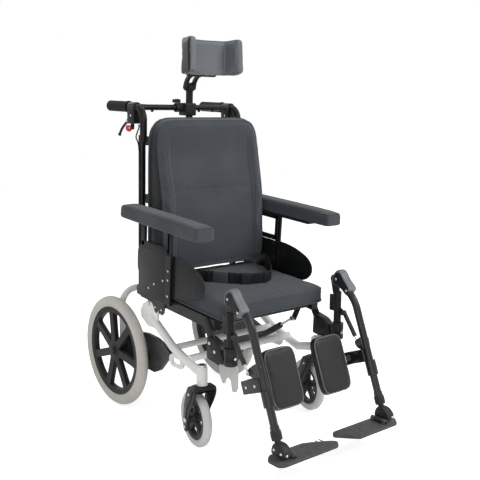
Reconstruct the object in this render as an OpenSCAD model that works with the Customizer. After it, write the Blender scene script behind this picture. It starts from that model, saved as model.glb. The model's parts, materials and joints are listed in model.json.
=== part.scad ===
/* [Rear wheels] */
// Diameter over the rear tyre
rear_wheel_d = 406; // [380:1:430]
// Thickness of the rear tyre
rear_tyre_w = 40; // [34:1:42]
// Distance of each rear wheel from the middle plane
rear_wheel_x = 246; // [244:1:256]
// Place of the rear axle behind the middle of the chair
axle_y = 373; // [365:1:380]
// Spokes in each rear wheel
spoke_count = 7; // [5:1:9]
// Diameter of the rear axle
axle_d = 12; // [10:1:14]

/* [Casters] */
// Diameter over the caster tyre
caster_d = 188; // [170:1:192]
// Thickness of the caster tyre
caster_tyre_w = 30; // [24:1:34]
// Distance of each swivel axis from the middle plane
caster_x = 252; // [248:1:262]
// Place of the swivel axis in front of the middle
caster_y = -171; // [-180:1:-165]
// Trail of the caster behind its swivel axis
caster_trail = 45; // [35:1:50]
// Angle that the casters stand at
caster_turn = 9; // [0:1:20]
// Diameter of the caster stem
stem_d = 14; // [12:1:16]
// Inside width of the caster fork
fork_gap = 66; // [50:1:70]

/* [Base frame] */
// Distance of each side tube from the middle plane
frame_x = 222; // [218:1:224]
// Diameter of the side tubes
frame_tube_d = 29; // [25:1:31]
// Diameter of the cross tubes
cross_tube_d = 22; // [18:1:25]
// Height of the rear hoop
hoop_z = 418; // [400:1:430]
// Place of the tilt pivot from front to back
tilt_y = 178; // [172:1:184]
// Height of the tilt pivot
tilt_z = 416; // [412:1:420]
// Diameter of the tilt pivot bolt
tilt_bolt_d = 12; // [10:1:14]

/* [Seat] */
// Slope of the seat down to the front at rest
seat_pitch = 4.5; // [2:0.5:5]
// Outer face of the seat rails from the middle plane
rail_x = 228; // [224:1:228]
// Width of a seat rail
rail_w = 28; // [24:1:30]
// Height of a seat rail
rail_h = 35; // [30:1:38]
// Height of the top of the seat rails
rail_top = 463; // [463:1:468]
// Width of the seat cushion
cushion_w = 459; // [440:1:459]
// Depth of the seat cushion
cushion_d = 436; // [400:1:440]
// Thickness of the seat cushion
cushion_t = 58; // [45:1:59]
// Front edge of the seat cushion
cushion_front = -248; // [-252:1:-240]
// Width of the lap belt webbing
belt_w = 44; // [30:1:46]

/* [Arms] */
// Width of an arm pad
arm_pad_w = 80; // [60:1:84]
// Length of an arm pad
arm_pad_l = 456; // [400:1:460]
// Thickness of an arm pad
arm_pad_t = 48; // [36:1:52]
// Height of the underside of the arm pads
arm_pad_z = 719; // [700:1:730]

/* [Back] */
// Angle that the back leans away from square to the seat
back_lean = 2.2; // [0:0.2:3]
// Distance of each cane from the middle plane
cane_x = 207; // [205:1:208]
// Place of the recline pivot from front to back
recline_y = 255; // [252:1:258]
// Height of the recline pivot
recline_z = 450; // [446:1:452]
// Diameter of the upper back tubes and handles
handle_d = 25; // [22:1:25]
// Height of the push handles
handle_z = 1087; // [1080:1:1095]
// Height of the back cushion
back_h = 532; // [500:1:540]
// Diameter of the push grips
grip_d = 37; // [32:1:38]
// Length of the push grips
grip_l = 122; // [110:1:130]

/* [Headrest] */
// Width of the headrest over its wings
headrest_w = 236; // [220:1:250]
// Height of the headrest pad
headrest_h = 130; // [120:1:140]
// Thickness of the headrest pad
headrest_t = 32; // [26:1:34]
// Rise of the headrest hinge above the top of the back cushion
head_rise = 101; // [96:1:111]

/* [Leg rests] */
// Distance of each leg tube from the middle plane
leg_x = 225; // [222:1:228]
// Diameter of the upper leg tube
leg_tube_d = 25; // [23:1:26]
// Diameter of the sliding foot tube
foot_tube_d = 20; // [18:1:21]
// Place of the knee pivot from front to back
knee_y = -275; // [-278:1:-272]
// Height of the knee pivot
knee_z = 516; // [512:1:520]
// Height of the calf pads
calf_h = 192; // [170:1:196]
// Width of the calf pads
calf_w = 133; // [116:1:136]
// Thickness of the calf pads
calf_t = 28; // [22:1:32]
// Height of the footplates
footplate_z = 85; // [80:1:95]
// Depth of the footplates from front to back
footplate_d = 82; // [70:1:90]
// Thickness of the footplates
footplate_t = 9; // [6:1:12]

/* [Hidden] */
$fn = 40;

// Overrun of a cut past the face it leaves
cut = 1;
// Running clearance on the radius of a pin in its bore
run_gap = 0.06;
// Gap between parts that slide or turn past each other
slip_gap = 0.4;
bar_neck = 0.985;
weld = 0.8;
bend_in = 2.5;
bend_step = 0.3;
// Gap between a soft pad and what carries it
soft_gap = 0.3;
hoop_tube_d = 25;
hoop_x = 196;
hoop_y = 412;
hoop_bend = 58;
hoop_foot_z = 215;
tube_bend = 60;
plate_t = 6;

function norm2(v) = v / norm(v);
function along(p, q, s) = p + (q - p) * s;
function scaled(shares, w, h, o) = [for (p = shares) [o.x + p.x * w, o.y + p.y * h]];
function smooth(a, b, v) = let (t = max(0, min(1, (v - a) / (b - a)))) t * t * (3 - 2 * t);
function power(v, e) = (v < 0 ? -1 : 1) * pow(abs(v), e);

module on_side(s) {
    if (s > 0) children();
    else mirror([1, 0, 0]) children();
}

module both() {
    children();
    mirror([1, 0, 0]) children();
}

// Flat shape in (y, z), drawn out along x from x0
module side_plate(x0, w) {
    translate([x0, 0, 0]) rotate([90, 0, 90]) linear_extrude(w) children();
}

module pin_x(x0, x1, y, z, d) {
    translate([x0, y, z]) rotate([0, 90, 0]) cylinder(h = x1 - x0, d = d);
}

module rod(a, b, d) {
    v = b - a;
    translate(a) rotate([0, acos(v.z / norm(v)), atan2(v.y, v.x)]) cylinder(h = norm(v), d = d);
}

// Round-ended bar between two points of a plane
module bar2d(a, b, d) {
    v = b - a;
    translate(a) circle(d = d);
    translate(b) circle(d = d);
    translate(a) rotate(atan2(v.y, v.x)) translate([0, -d * bar_neck / 2]) square([norm(v), d * bar_neck]);
}

// Round tube through points of a plane, each corner bent to one radius
module flat_tube(points, d, bend) {
    n = len(points);
    function turn(i) = let (u = norm2(points[i - 1] - points[i]), v = norm2(points[i + 1] - points[i]))
        acos(max(-1, min(1, u * v)));
    function setback(i) = (i == 0 || i == n - 1) ? 0 : bend / tan(turn(i) / 2);
    for (i = [0 : n - 2]) {
        v = norm2(points[i + 1] - points[i]);
        a = points[i] + v * max(0, setback(i) - bend_in);
        b = points[i + 1] - v * max(0, setback(i + 1) - bend_in);
        rod([a.x, a.y, 0], [b.x, b.y, 0], d);
    }
    for (i = [1 : n - 2]) {
        u = norm2(points[i - 1] - points[i]);
        v = norm2(points[i + 1] - points[i]);
        centre = points[i] + norm2(u + v) * bend / sin(turn(i) / 2);
        a = points[i] + u * setback(i) - centre;
        b = points[i] + v * setback(i) - centre;
        start = (a.x * b.y - a.y * b.x > 0) ? atan2(a.y, a.x) : atan2(b.y, b.x);
        translate([centre.x, centre.y, 0]) rotate(start)
            rotate_extrude(angle = 180 - turn(i)) translate([bend, 0]) circle(d = d + 2 * bend_step);
    }
}

module side_tube(x, points, d, bend) {
    translate([x, 0, 0]) rotate([90, 0, 90]) flat_tube(points, d, bend);
}

// Closed skin over rings of equal length, capped by a fan at each end
module ring_skin(rings) {
    m = len(rings[0]);
    k = len(rings);
    function centre(r) = [for (a = [0 : 2]) let (s = [for (p = r) p[a]]) s * [for (p = r) 1] / m];
    points = concat([for (r = rings) each r], [centre(rings[0]), centre(rings[k - 1])]);
    sides = [for (j = [0 : k - 2]) for (i = [0 : m - 1]) let (i2 = (i + 1) % m)
        each [[j * m + i, j * m + i2, (j + 1) * m + i2], [j * m + i, (j + 1) * m + i2, (j + 1) * m + i]]];
    low = [for (i = [0 : m - 1]) [k * m, (i + 1) % m, i]];
    high = [for (i = [0 : m - 1]) [k * m + 1, (k - 1) * m + i, (k - 1) * m + (i + 1) % m]];
    polyhedron(points, [for (f = concat(sides, low, high)) [f[2], f[1], f[0]]], convexity = 6);
}

// Tube of 8 sides swept along a route of points
module cable(route, d) {
    n = len(route);
    function dir(i) = norm2(route[min(i + 1, n - 1)] - route[max(i - 1, 0)]);
    function side_of(i) = norm2(cross(dir(i), [1, 0.02, 0.01]));
    ring_skin([for (i = [0 : n - 1]) let (u = side_of(i), w = cross(dir(i), u))
        [for (k = [0 : 7]) route[i] + (u * cos(45 * k) + w * sin(45 * k)) * d / 2]]);
}

function blend_route(p, steps) = [for (i = [0 : len(p) - 2]) for (k = [0 : steps - 1])
    let (a = p[max(i - 1, 0)], b = p[i], c = p[i + 1], e = p[min(i + 2, len(p) - 1)], t = k / steps)
    0.5 * (2 * b + (c - a) * t + (2 * a - 5 * b + 4 * c - e) * t * t + (3 * b - a - 3 * c + e) * t * t * t)];

// Seat parts are drawn level and pitched about the tilt pivot; back parts also lean about the recline pivot
pitch_y = 190;
pitch_z = 415;
module at_seat() {
    translate([0, pitch_y, pitch_z]) rotate([seat_pitch, 0, 0]) translate([0, -pitch_y, -pitch_z]) children();
}
module at_back() {
    at_seat() translate([0, recline_y, recline_z]) rotate([-back_lean, 0, 0])
        translate([0, -recline_y, -recline_z]) children();
}

// Rear wheels
wheel_r = rear_wheel_d / 2;
axle_z = wheel_r;
tyre_r = rear_tyre_w / 2;
rim_r = wheel_r - rear_tyre_w + 3;
rim_wall = 24;
rim_w = 22;
hub_d = 66;
hub_w = 34;
spoke_w = 26;
spoke_t = 12;
spoke_back = 1.5;
hub_x0 = rear_wheel_x - rear_tyre_w / 2 + 2;
rim_x0 = rear_wheel_x - rim_w / 2 + 3;

module wheel_ring(x0, w, r_out, r_in) {
    side_plate(x0, w) difference() {
        circle(r = r_out, $fn = 96);
        circle(r = r_in, $fn = 96);
    }
}

module rear_wheel(s) {
    color([0.2, 0.2, 0.2]) on_side(s) translate([0, axle_y, axle_z]) difference() {
        union() {
            wheel_ring(rim_x0, rim_w, rim_r, rim_r - rim_wall);
            pin_x(hub_x0, hub_x0 + hub_w, 0, 0, hub_d);
            for (k = [0 : spoke_count - 1])
                rotate([-k * 360 / spoke_count + 5.7, 0, 0])
                    translate([rim_x0 + rim_w - spoke_t - spoke_back, -spoke_w / 2, 0])
                        cube([spoke_t, spoke_w, rim_r - rim_wall / 2]);
        }
        pin_x(hub_x0 - cut, hub_x0 + hub_w + cut, 0, 0, axle_d + 2 * run_gap);
    }
}

module rear_tyre(s) {
    color([0.66, 0.66, 0.65]) on_side(s) translate([rear_wheel_x, axle_y, axle_z]) rotate([0, 90, 0])
        rotate_extrude($fn = 96) difference() {
            translate([wheel_r - tyre_r, 0]) circle(r = tyre_r);
            translate([wheel_r - rear_tyre_w - cut, -rear_tyre_w]) square([rim_r - wheel_r + rear_tyre_w + cut, 2 * rear_tyre_w]);
        }
}

// Casters
caster_r = caster_d / 2;
caster_tyre_h = 24;
caster_rim_r = caster_r - caster_tyre_h;
caster_rim_wall = 14;
caster_hub_d = 34;
caster_hub_w = fork_gap - 2 * slip_gap;
fork_t = 6;
fork_w = 32;
crown_d = 50;
crown_t = 12;
housing_d = 35;
housing_z0 = 220;
housing_h = 61;
caster_axle_d = 10;
second_hole_drop = 26;

module at_caster(s) {
    translate([s * caster_x, caster_y, 0]) rotate([0, 0, -caster_turn]) children();
}

module caster_fork(s) {
    crown_z = housing_z0 - crown_t - slip_gap;
    arm_top = [0, crown_z + crown_t - fork_w / 2 - weld];
    knee = [caster_trail * 0.45, crown_z - fork_w * 0.9];
    axle = [caster_trail, caster_r];
    foot = [caster_trail * 1.06, caster_r - second_hole_drop];
    color([0.16, 0.16, 0.17]) at_caster(s) {
        difference() {
            union() {
                translate([0, 0, crown_z]) cylinder(h = crown_t, d = crown_d);
                translate([-fork_gap / 2 - fork_t, -crown_t, crown_z]) cube([fork_gap + 2 * fork_t, 2 * crown_t, crown_t]);
                translate([0, 0, crown_z]) cylinder(h = crown_t + housing_h + 2 * slip_gap, d = stem_d);
                for (x = [-fork_gap / 2 - fork_t, fork_gap / 2])
                    side_plate(x, fork_t) {
                        bar2d(arm_top, knee, fork_w);
                        bar2d(knee, axle, fork_w);
                        bar2d(axle, foot, fork_w);
                    }
            }
            pin_x(-fork_gap, fork_gap, foot.x, foot.y, caster_axle_d);
        }
        pin_x(-fork_gap / 2 - 2 * fork_t, fork_gap / 2 + 2 * fork_t, axle.x, axle.y, caster_axle_d);
    }
}

module caster_wheel(s) {
    color([0.24, 0.24, 0.25]) at_caster(s) translate([0, caster_trail, caster_r]) difference() {
        union() {
            wheel_ring(-caster_tyre_w * 0.4, caster_tyre_w * 0.8, caster_rim_r, caster_rim_r - caster_rim_wall);
            pin_x(-caster_hub_w / 2, caster_hub_w / 2, 0, 0, caster_hub_d);
            for (k = [0 : 4])
                rotate([72 * k, 0, 0]) translate([-caster_tyre_w / 6, -caster_hub_d / 4, 0])
                    cube([caster_tyre_w / 3, caster_hub_d / 2, caster_rim_r - caster_rim_wall / 2]);
        }
        pin_x(-fork_gap, fork_gap, 0, 0, caster_axle_d + 2 * run_gap);
    }
}

module caster_tyre(s) {
    color([0.68, 0.68, 0.67]) at_caster(s) translate([0, caster_trail, caster_r]) rotate([0, 90, 0])
        rotate_extrude($fn = 96) {
            difference() {
                translate([caster_r - caster_tyre_w / 2, 0]) circle(r = caster_tyre_w / 2);
                translate([0, -caster_tyre_w]) square([caster_rim_r, 2 * caster_tyre_w]);
            }
            translate([caster_rim_r, -caster_tyre_w / 2]) square([caster_tyre_h - caster_tyre_w / 2, caster_tyre_w]);
        }
}

// Base frame
side_route_shares = [[-0.62, -0.415], [-0.225, -0.368], [0.2, -0.305], [0.92, -0.115]];
side_route = [for (p = side_route_shares) [p.x * tilt_y, tilt_z * (1 + p.y)]];
cross_front = [-60, 272];
cross_front_d = 1.14 * cross_tube_d;
cross_rear = [31, 288];
gusset_t = 8;
gusset_x = frame_x - gusset_t / 2;
gusset_shares = [[-0.95, -1.0], [-1.05, -0.2], [-0.7, 0.02], [-0.1, 0.1], [0.1, 0.1], [0.72, -0.1],
    [1.05, -0.45], [0.95, -0.7], [0.2, -1.0]];
gusset_w = 54;
gusset_h = 84;
bracket_t = 12;
bracket_x = frame_x - frame_tube_d / 2;
bracket_shares = [[-0.9, 0.25], [-0.8, 0.37], [-0.66, 0.45], [-0.48, 0.47], [-0.28, 0.43], [0.05, 0.12],
    [0.08, -0.06], [0, -0.14], [-0.6, -0.18], [-0.7, -0.1], [-0.8, 0.08]];
bracket_l = 355;
bracket_h = 205;
ring_w = 84;
ring_h = 44;
ring_hole_w = 44;
ring_hole_h = 20;
ring_at = [14, 244];

module base_frame() {
    color([0.86, 0.86, 0.85]) {
        both() {
            difference() {
                union() {
                    side_tube(frame_x, side_route, frame_tube_d, tube_bend);
                    rod([frame_x, side_route[0].x, side_route[0].y],
                        [caster_x, caster_y, housing_z0 + housing_h / 2], frame_tube_d);
                    translate([frame_x, side_route[0].x, side_route[0].y]) rotate([0, 90, 0])
                        sphere(d = frame_tube_d + 2 * weld);
                    translate([caster_x, caster_y, housing_z0]) cylinder(h = housing_h, d = housing_d);
                    side_plate(gusset_x, gusset_t)
                        polygon(scaled(gusset_shares, gusset_w, gusset_h, [tilt_y, tilt_z]));
                    side_plate(frame_x - plate_t / 2, plate_t) difference() {
                        bar2d([ring_at.x - (ring_w - ring_h) / 2, ring_at.y],
                            [ring_at.x + (ring_w - ring_h) / 2, ring_at.y], ring_h);
                        bar2d([ring_at.x - (ring_hole_w - ring_hole_h) / 2, ring_at.y],
                            [ring_at.x + (ring_hole_w - ring_hole_h) / 2, ring_at.y], ring_hole_h);
                    }
                }
                translate([caster_x, caster_y, housing_z0 - cut])
                    cylinder(h = housing_h + 2 * cut, d = stem_d + 2 * run_gap);
                pin_x(gusset_x - cut, gusset_x + gusset_t + cut, tilt_y, tilt_z, tilt_bolt_d);
            }
        }
        pin_x(-frame_x, frame_x, cross_front.x, cross_front.y, cross_front_d);
        pin_x(-frame_x, frame_x, cross_rear.x, cross_rear.y, cross_tube_d);
        translate([0, hoop_y, 0]) rotate([90, 0, 0])
            flat_tube([[-hoop_x, hoop_foot_z], [-hoop_x, hoop_z], [hoop_x, hoop_z], [hoop_x, hoop_foot_z]],
                hoop_tube_d, hoop_bend);
        both() {
            translate([hoop_x, hoop_y, hoop_foot_z]) sphere(d = hoop_tube_d + 2 * weld);
            rod([hoop_x, hoop_y, hoop_foot_z], [hoop_x, axle_y - hub_d / 2, hoop_foot_z], hoop_tube_d);
        }
    }
}

module axle_brackets() {
    color([0.13, 0.13, 0.14]) both() difference() {
        side_plate(bracket_x, bracket_t)
            polygon(scaled(bracket_shares, bracket_l, bracket_h, [axle_y, axle_z]));
        pin_x(bracket_x - cut, bracket_x + bracket_t + cut, axle_y, axle_z, axle_d);
        side_tube(frame_x, side_route, frame_tube_d, tube_bend);
        rod([hoop_x, hoop_y, hoop_foot_z], [hoop_x, axle_y - hub_d / 2, hoop_foot_z], hoop_tube_d);
        translate([hoop_x, hoop_y, hoop_foot_z]) sphere(d = hoop_tube_d + 2 * weld);
    }
}

bolt_head_d = 16;
bolt_head_t = 4;
tilt_gap = 0.4;
lug_t = 6;

module frame_bolts() {
    color([0.1, 0.1, 0.11]) both() {
        pin_x(gusset_x - tilt_gap - lug_t, gusset_x + gusset_t, tilt_y, tilt_z, tilt_bolt_d);
        pin_x(gusset_x + gusset_t, gusset_x + gusset_t + bolt_head_t, tilt_y, tilt_z, bolt_head_d);
        pin_x(bracket_x, hub_x0 + hub_w, axle_y, axle_z, axle_d);
        pin_x(hub_x0 + hub_w + slip_gap, hub_x0 + hub_w + bolt_head_t, axle_y, axle_z, 1.6 * axle_d);
        pin_x(hub_x0 + hub_w - cut, hub_x0 + hub_w + bolt_head_t, axle_y, axle_z, axle_d);
        translate([caster_x, caster_y, housing_z0 + housing_h]) difference() {
            cylinder(h = 4 * slip_gap + bolt_head_t, d = housing_d - bolt_head_t);
            translate([0, 0, -cut]) cylinder(h = 3 * slip_gap + cut, d = stem_d + 2 * cut);
        }
    }
}

cable_d = 5;
cable_x = gusset_x - cable_d / 2 - slip_gap;
lower_route = [[cable_x, 228, 370], [cable_x, 244, 376], [cable_x, 268, 374], [cable_x, 292, 358],
    [cable_x, 310, 332], [cable_x, 319, 312], [cable_x, 322, 297]];

module brake_cable_lower() {
    color([0.08, 0.08, 0.08]) cable(blend_route(lower_route, 4), cable_d);
}

// Seat
rail_z0 = rail_top - rail_h;
rail_front = -200;
rail_rear = 228;
seat_bar_d = 22;
pan_t = 8;
seat_bar_z = rail_top - pan_t - seat_bar_d / 2;
seat_bar_share = 0.73;
seat_bar_places = [rail_front + seat_bar_d, rail_front + (rail_rear - rail_front) * seat_bar_share,
    rail_rear - seat_bar_d];
tilt_seat = [(tilt_y - pitch_y) * cos(seat_pitch) + (tilt_z - pitch_z) * sin(seat_pitch) + pitch_y,
    -(tilt_y - pitch_y) * sin(seat_pitch) + (tilt_z - pitch_z) * cos(seat_pitch) + pitch_z];
lug_w = 36;
side_t = 4;
bracket_side_shares = [[0.86, 0.5], [0.88, -0.1], [0.3, -0.26], [-0.23, -0.3], [-0.4, -0.42], [-0.5, -0.75],
    [-0.6, -1.1], [-0.7, -1.22], [-0.86, -0.7], [-0.92, -1.08], [-1.16, -1.2], [-1.3, -0.9], [-1.35, -0.2], [-1.35, 1.35],
    [0.6, 1.35]];
side_share_w = 80;
knuckle_t = 6;
knuckle_w = 44;

module seat_frame() {
    color([0.15, 0.15, 0.16]) at_seat() {
        both() {
            difference() {
                union() {
                    translate([rail_x - rail_w, rail_front, rail_z0]) cube([rail_w, rail_rear - rail_front, rail_h]);
                    side_plate(gusset_x - tilt_gap - lug_t, lug_t) {
                        bar2d([tilt_seat.x, tilt_seat.y], [tilt_seat.x, rail_z0 + rail_h / 2], lug_w * 0.8);
                    }
                    side_plate(cane_x + cane_w / 2 + slip_gap, knuckle_t)
                        bar2d([rail_rear - knuckle_w / 2, rail_z0 + rail_h / 2], [recline_y, recline_z], rail_h * 0.8);
                }
                pin_x(gusset_x - tilt_gap - lug_t - cut, gusset_x - tilt_gap + cut, tilt_seat.x, tilt_seat.y,
                    tilt_bolt_d + 2 * run_gap);
                translate([gusset_x - tilt_gap, tilt_seat.x - lug_w, tilt_seat.y - lug_w])
                    cube([gusset_t, 2 * lug_w, rail_z0 - tilt_seat.y + lug_w]);
            }
            side_plate(rail_x, side_t)
                polygon(scaled(bracket_side_shares, side_share_w, rail_h, [tilt_seat.x, rail_z0 + rail_h / 3]));
            pin_x(cane_x - cane_w / 2 - 2 * slip_gap, cane_x + cane_w / 2 + slip_gap, recline_y, recline_z, recline_pin_d);
        }
        for (y = seat_bar_places) pin_x(rail_w - rail_x, rail_x - rail_w, y, seat_bar_z, seat_bar_d);
        side_plate(spring_x + spring_eye_w / 2 + slip_gap, lug_t) difference() {
            bar2d(spring_top_seat, [seat_bar_places[0], seat_bar_z], spring_eye_w * 2);
            translate([seat_bar_places[0], seat_bar_z]) circle(d = seat_bar_d);
        }
    }
}

module seat_pan() {
    color([0.12, 0.12, 0.12]) at_seat()
        translate([rail_w - rail_x, rail_front, rail_top - pan_t])
            cube([2 * (rail_x - rail_w), rail_rear - rail_front - lug_w, pan_t]);
}

// Rounded outline of a pad, drawn in a little between its corners
function pad_ring(w, l, inset, draw, m, e) = [for (i = [0 : m - 1]) let (a = 360 * i / m,
    c = power(cos(a), 2 / e), s = power(sin(a), 2 / e), pull = draw * pow(abs(sin(2 * a)), 2))
    [(w / 2 - inset - draw + pull) * c, (l / 2 - inset - draw + pull) * s]];

// Crowned pad lying flat: each step gives an inset and a height
function pad_rings(w, l, t, steps, crown, draw, m, e) = [for (q = steps)
    [for (p = pad_ring(w, l, q[0], q[2] * draw, m, e))
        [p.x, p.y, q[1] * t + q[3] * crown * (1 - pow(2 * p.x / w, 2)) * (1 - pow(2 * p.y / l, 2))]]];

edge_r = 9;
pad_steps = [[60, 0, 1, 0], [3, 0, 1, 0], [0.3, 0.08, 1, 0], [0, 0.3, 1, 0], [0, 0.7, 1, 0], [1.5, 0.85, 1, 0],
    [5, 0.95, 1, 0.3], [edge_r + 4, 0.985, 1, 1], [30, 1, 1, 1], [60, 1, 1, 1], [100, 1, 1, 1], [150, 1, 1, 1]];
seat_crown = 5;
side_draw = 2;

module seat_cushion() {
    color([0.3, 0.32, 0.34]) at_seat()
        translate([0, cushion_front + cushion_d / 2, rail_top + soft_gap])
            ring_skin(pad_rings(cushion_w, cushion_d, cushion_t - seat_crown, pad_steps, seat_crown, side_draw, 56, 10));
}

guard_x = rail_x + side_t;
guard_t = 6;
guard_z0 = rail_top + 2;
guard_h = 156;
guard_y0 = 51;
guard_l = 188;
guard_shares = [[0, -0.12], [0, 1], [0.93, 1], [1, 0.86], [1, 0.45], [0.88, 0.22], [0.88, -0.12]];
panel_t = 4;
panel_shares = [[0, 0.92], [0, 0], [-0.12, 0.02], [-0.88, 0.3], [-1, 0.46], [-1, 0.64], [-0.86, 0.8], [-0.54, 0.95], [-0.2, 1],
    [0, 1]];
panel_l = 174;
panel_h = 142;
post_w = 14;
post_d = 30;
post_wall = 3;
post_y = guard_y0 - post_d;
tongue_gap = 0.5;

module side_guards() {
    color([0.14, 0.14, 0.15]) at_seat() both() {
        side_plate(guard_x, guard_t) polygon(scaled(guard_shares, guard_l, guard_h, [guard_y0, guard_z0]));
        side_plate(guard_x, panel_t) polygon(scaled(panel_shares, panel_l, panel_h, [post_y, guard_z0 + post_w]));
        difference() {
            translate([guard_x, post_y, guard_z0 - post_w]) cube([post_w, post_d, guard_h + post_w]);
            translate([guard_x + post_wall, post_y + post_wall, guard_z0])
                cube([post_w - 2 * post_wall, post_d - 2 * post_wall, guard_h + cut]);
        }
    }
}

arm_plate_h = 94;
arm_rise_gap = 2;
tongue_l = 120;
arm_pad_x = rail_x + side_t + 3;
arm_pad_front = -208;

module arm_post(s) {
    tongue_w = post_w - 2 * post_wall - 2 * tongue_gap;
    plate_z = guard_z0 + guard_h + arm_rise_gap;
    color([0.13, 0.13, 0.14]) on_side(s) at_seat() {
        translate([guard_x + post_wall + tongue_gap, post_y + post_wall + tongue_gap, plate_z - tongue_l])
            cube([tongue_w, post_d - 2 * post_wall - 2 * tongue_gap, arm_pad_z - plate_z + tongue_l - soft_gap]);
        difference() {
            translate([guard_x, guard_y0 - post_d / 2, plate_z])
                cube([tongue_w + post_wall + tongue_gap, guard_l - post_d / 2, arm_pad_z - plate_z - soft_gap]);
            for (k = [0, 1])
                side_plate(guard_x - cut, post_w + 2 * cut)
                    bar2d([guard_y0 + guard_l * (0.28 + 0.22 * k), plate_z + arm_plate_h * 0.5],
                        [guard_y0 + guard_l * (0.4 + 0.22 * k), plate_z + arm_plate_h * 0.5], post_wall * 2);
        }
        translate([arm_pad_x + arm_pad_w / 4, arm_pad_front + arm_pad_l / 5, arm_pad_z - soft_gap - guard_t])
            cube([arm_pad_w / 3, arm_pad_l * 0.7, guard_t]);
        translate([guard_x + post_wall, guard_y0, arm_pad_z - soft_gap - guard_t])
            cube([arm_pad_w / 2 - post_wall, guard_l * 0.6, guard_t]);
    }
}

arm_steps = [[14, 0, 1, 0], [4, 0, 1, 0], [1, 0.06, 1, 0], [0, 0.18, 1, 0], [0, 0.8, 1, 0], [1.5, 0.92, 1, 0],
    [5, 0.98, 1, 0.5], [12, 1, 1, 1], [24, 1, 1, 1]];
arm_crown = 3;

module arm_pad(s) {
    color([0.24, 0.25, 0.26]) on_side(s) at_seat()
        translate([arm_pad_x + arm_pad_w / 2, arm_pad_front + arm_pad_l / 2, arm_pad_z])
            ring_skin(pad_rings(arm_pad_w, arm_pad_l, arm_pad_t - arm_crown, arm_steps, arm_crown, 0.5, 48, 12));
}

module seat_bolts() {
    color([0.75, 0.75, 0.75]) at_seat() both() {
        for (p = [[0.14, 0.38], [0.42, 0.22], [0.6, 0.08]])
            pin_x(guard_x + guard_t, guard_x + guard_t + bolt_head_t / 2, guard_y0 + guard_l * p.x,
                guard_z0 + guard_h * p.y, bolt_head_d * 0.6);
        for (z = [0.1, 0.46, 0.66])
            pin_x(guard_x + post_w, guard_x + post_w + bolt_head_t / 2, post_y + post_d / 2, guard_z0 + guard_h * z,
                bolt_head_d * 0.5);
        for (y = [-1.1, -0.62])
            pin_x(rail_x + side_t, rail_x + side_t + bolt_head_t / 2, tilt_seat.x + side_share_w * y, rail_z0 - lug_w / 3,
                bolt_head_d * 0.6);
    }
}

belt_t = 3;
belt_route = [[-214, 70], [-194, 54], [-160, 22], [-116, -14], [-70, -66], [-30, -98], [24, -118], [70, -112],
    [116, -72], [160, -8], [192, 48], [214, 70]];
belt_z = rail_top + cushion_t + 2 * soft_gap;

module lap_belt() {
    r = [for (p = blend_route([for (p = belt_route) [p.x, p.y, 0]], 3)) p];
    n = len(r);
    color([0.07, 0.07, 0.07]) at_seat() ring_skin([for (i = [0 : n - 1])
        let (t = norm2(r[min(i + 1, n - 1)] - r[max(i - 1, 0)]), w = [-t.y, t.x, 0] * belt_t / 2)
        [r[i] + w + [0, 0, belt_z], r[i] - w + [0, 0, belt_z],
            r[i] - w + [0, 0, belt_z + belt_w], r[i] + w + [0, 0, belt_z + belt_w]]]);
}

buckle_w = 62;
buckle_t = 13;
buckle_at = [-20, -104];
buckle_turn = -27;

module belt_buckle() {
    color([0.05, 0.05, 0.05]) at_seat()
        translate([buckle_at.x, buckle_at.y, belt_z]) rotate(buckle_turn)
            translate([-buckle_w / 2, -buckle_t - belt_t / 2 - 3 * soft_gap, 0]) {
                cube([buckle_w, buckle_t, belt_w]);
                translate([buckle_w, buckle_t / 4, belt_w / 8]) cube([buckle_w / 3, buckle_t / 2, belt_w * 0.75]);
            }
}

// Leg receivers, drawn upright in front of the seat rails
post_leg_d = 26;
post_leg_y = -292;
post_leg_x = 232;
receiver_w = 32;
receiver_shares = [[1.1, 0.98], [0.44, 0.78], [0.14, 0], [0.6, -0.1], [1.14, 0]];
receiver_l = 92;
receiver_h = 74;
receiver_z = 311;
sleeve_d = 44;
sleeve_h = 48;
grey_shares = [[0, 0.08], [0, 0.9], [0.3, 1], [0.9, 1], [0.9, 0.4], [0.74, 0.05], [0.64, 0.05], [0.56, 0.36], [0.34, 0.36],
    [0.26, -0.12], [0.1, -0.12]];
grey_w = 100;
grey_h = 82;

module leg_receivers() {
    both() {
        color([0.12, 0.12, 0.13]) difference() {
            union() {
                side_plate(post_leg_x - receiver_w / 2, receiver_w)
                    polygon(scaled(receiver_shares, receiver_l, receiver_h, [post_leg_y, receiver_z]));
                translate([post_leg_x, post_leg_y, receiver_z]) cylinder(h = sleeve_h, d = sleeve_d);
                side_plate(rail_x, plate_t)
                    bar2d([post_leg_y + receiver_l, receiver_z + receiver_h * 0.7],
                        [rail_front + receiver_w, rail_z0 - receiver_w * 0.3], receiver_w);
            }
            translate([post_leg_x, post_leg_y, receiver_z - cut])
                cylinder(h = sleeve_h + 2 * cut, d = post_leg_d + 2 * run_gap);
            at_seat() translate([rail_x - rail_w - cut, rail_front - cut, rail_z0 - cut])
                cube([rail_w + cut, receiver_l * 2, rail_h + 2 * cut]);
        }
        color([0.78, 0.78, 0.77]) side_plate(post_leg_x - receiver_w / 2 - plate_t, plate_t)
            polygon(scaled(grey_shares, grey_w, grey_h, [post_leg_y - receiver_w / 3, receiver_z - grey_h]));
    }
}

// Back
cane_w = 14;
cane_d = 24;
recline_pin_d = 10;
cane_foot_z = 432;
cane_top_z = 993;
handle_bend = 45;
handle_front = 246;
grip_end_y = 467;
slot_d = 6;
slot_z0 = 932;
slot_l = 26;
cross_strap_h = 30;
cross_strap_t = 4;
strap_places = [540, 760, 960];
shell_y = 187;
shell_t = 7;
shell_inset = 14;
bar_y = 288;
bar_d = 22;

module handle_tube() {
    side_tube(cane_x, [[handle_front, cane_top_z - cane_d], [handle_front, handle_z], [grip_end_y, handle_z]],
        handle_d, handle_bend);
}

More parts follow.
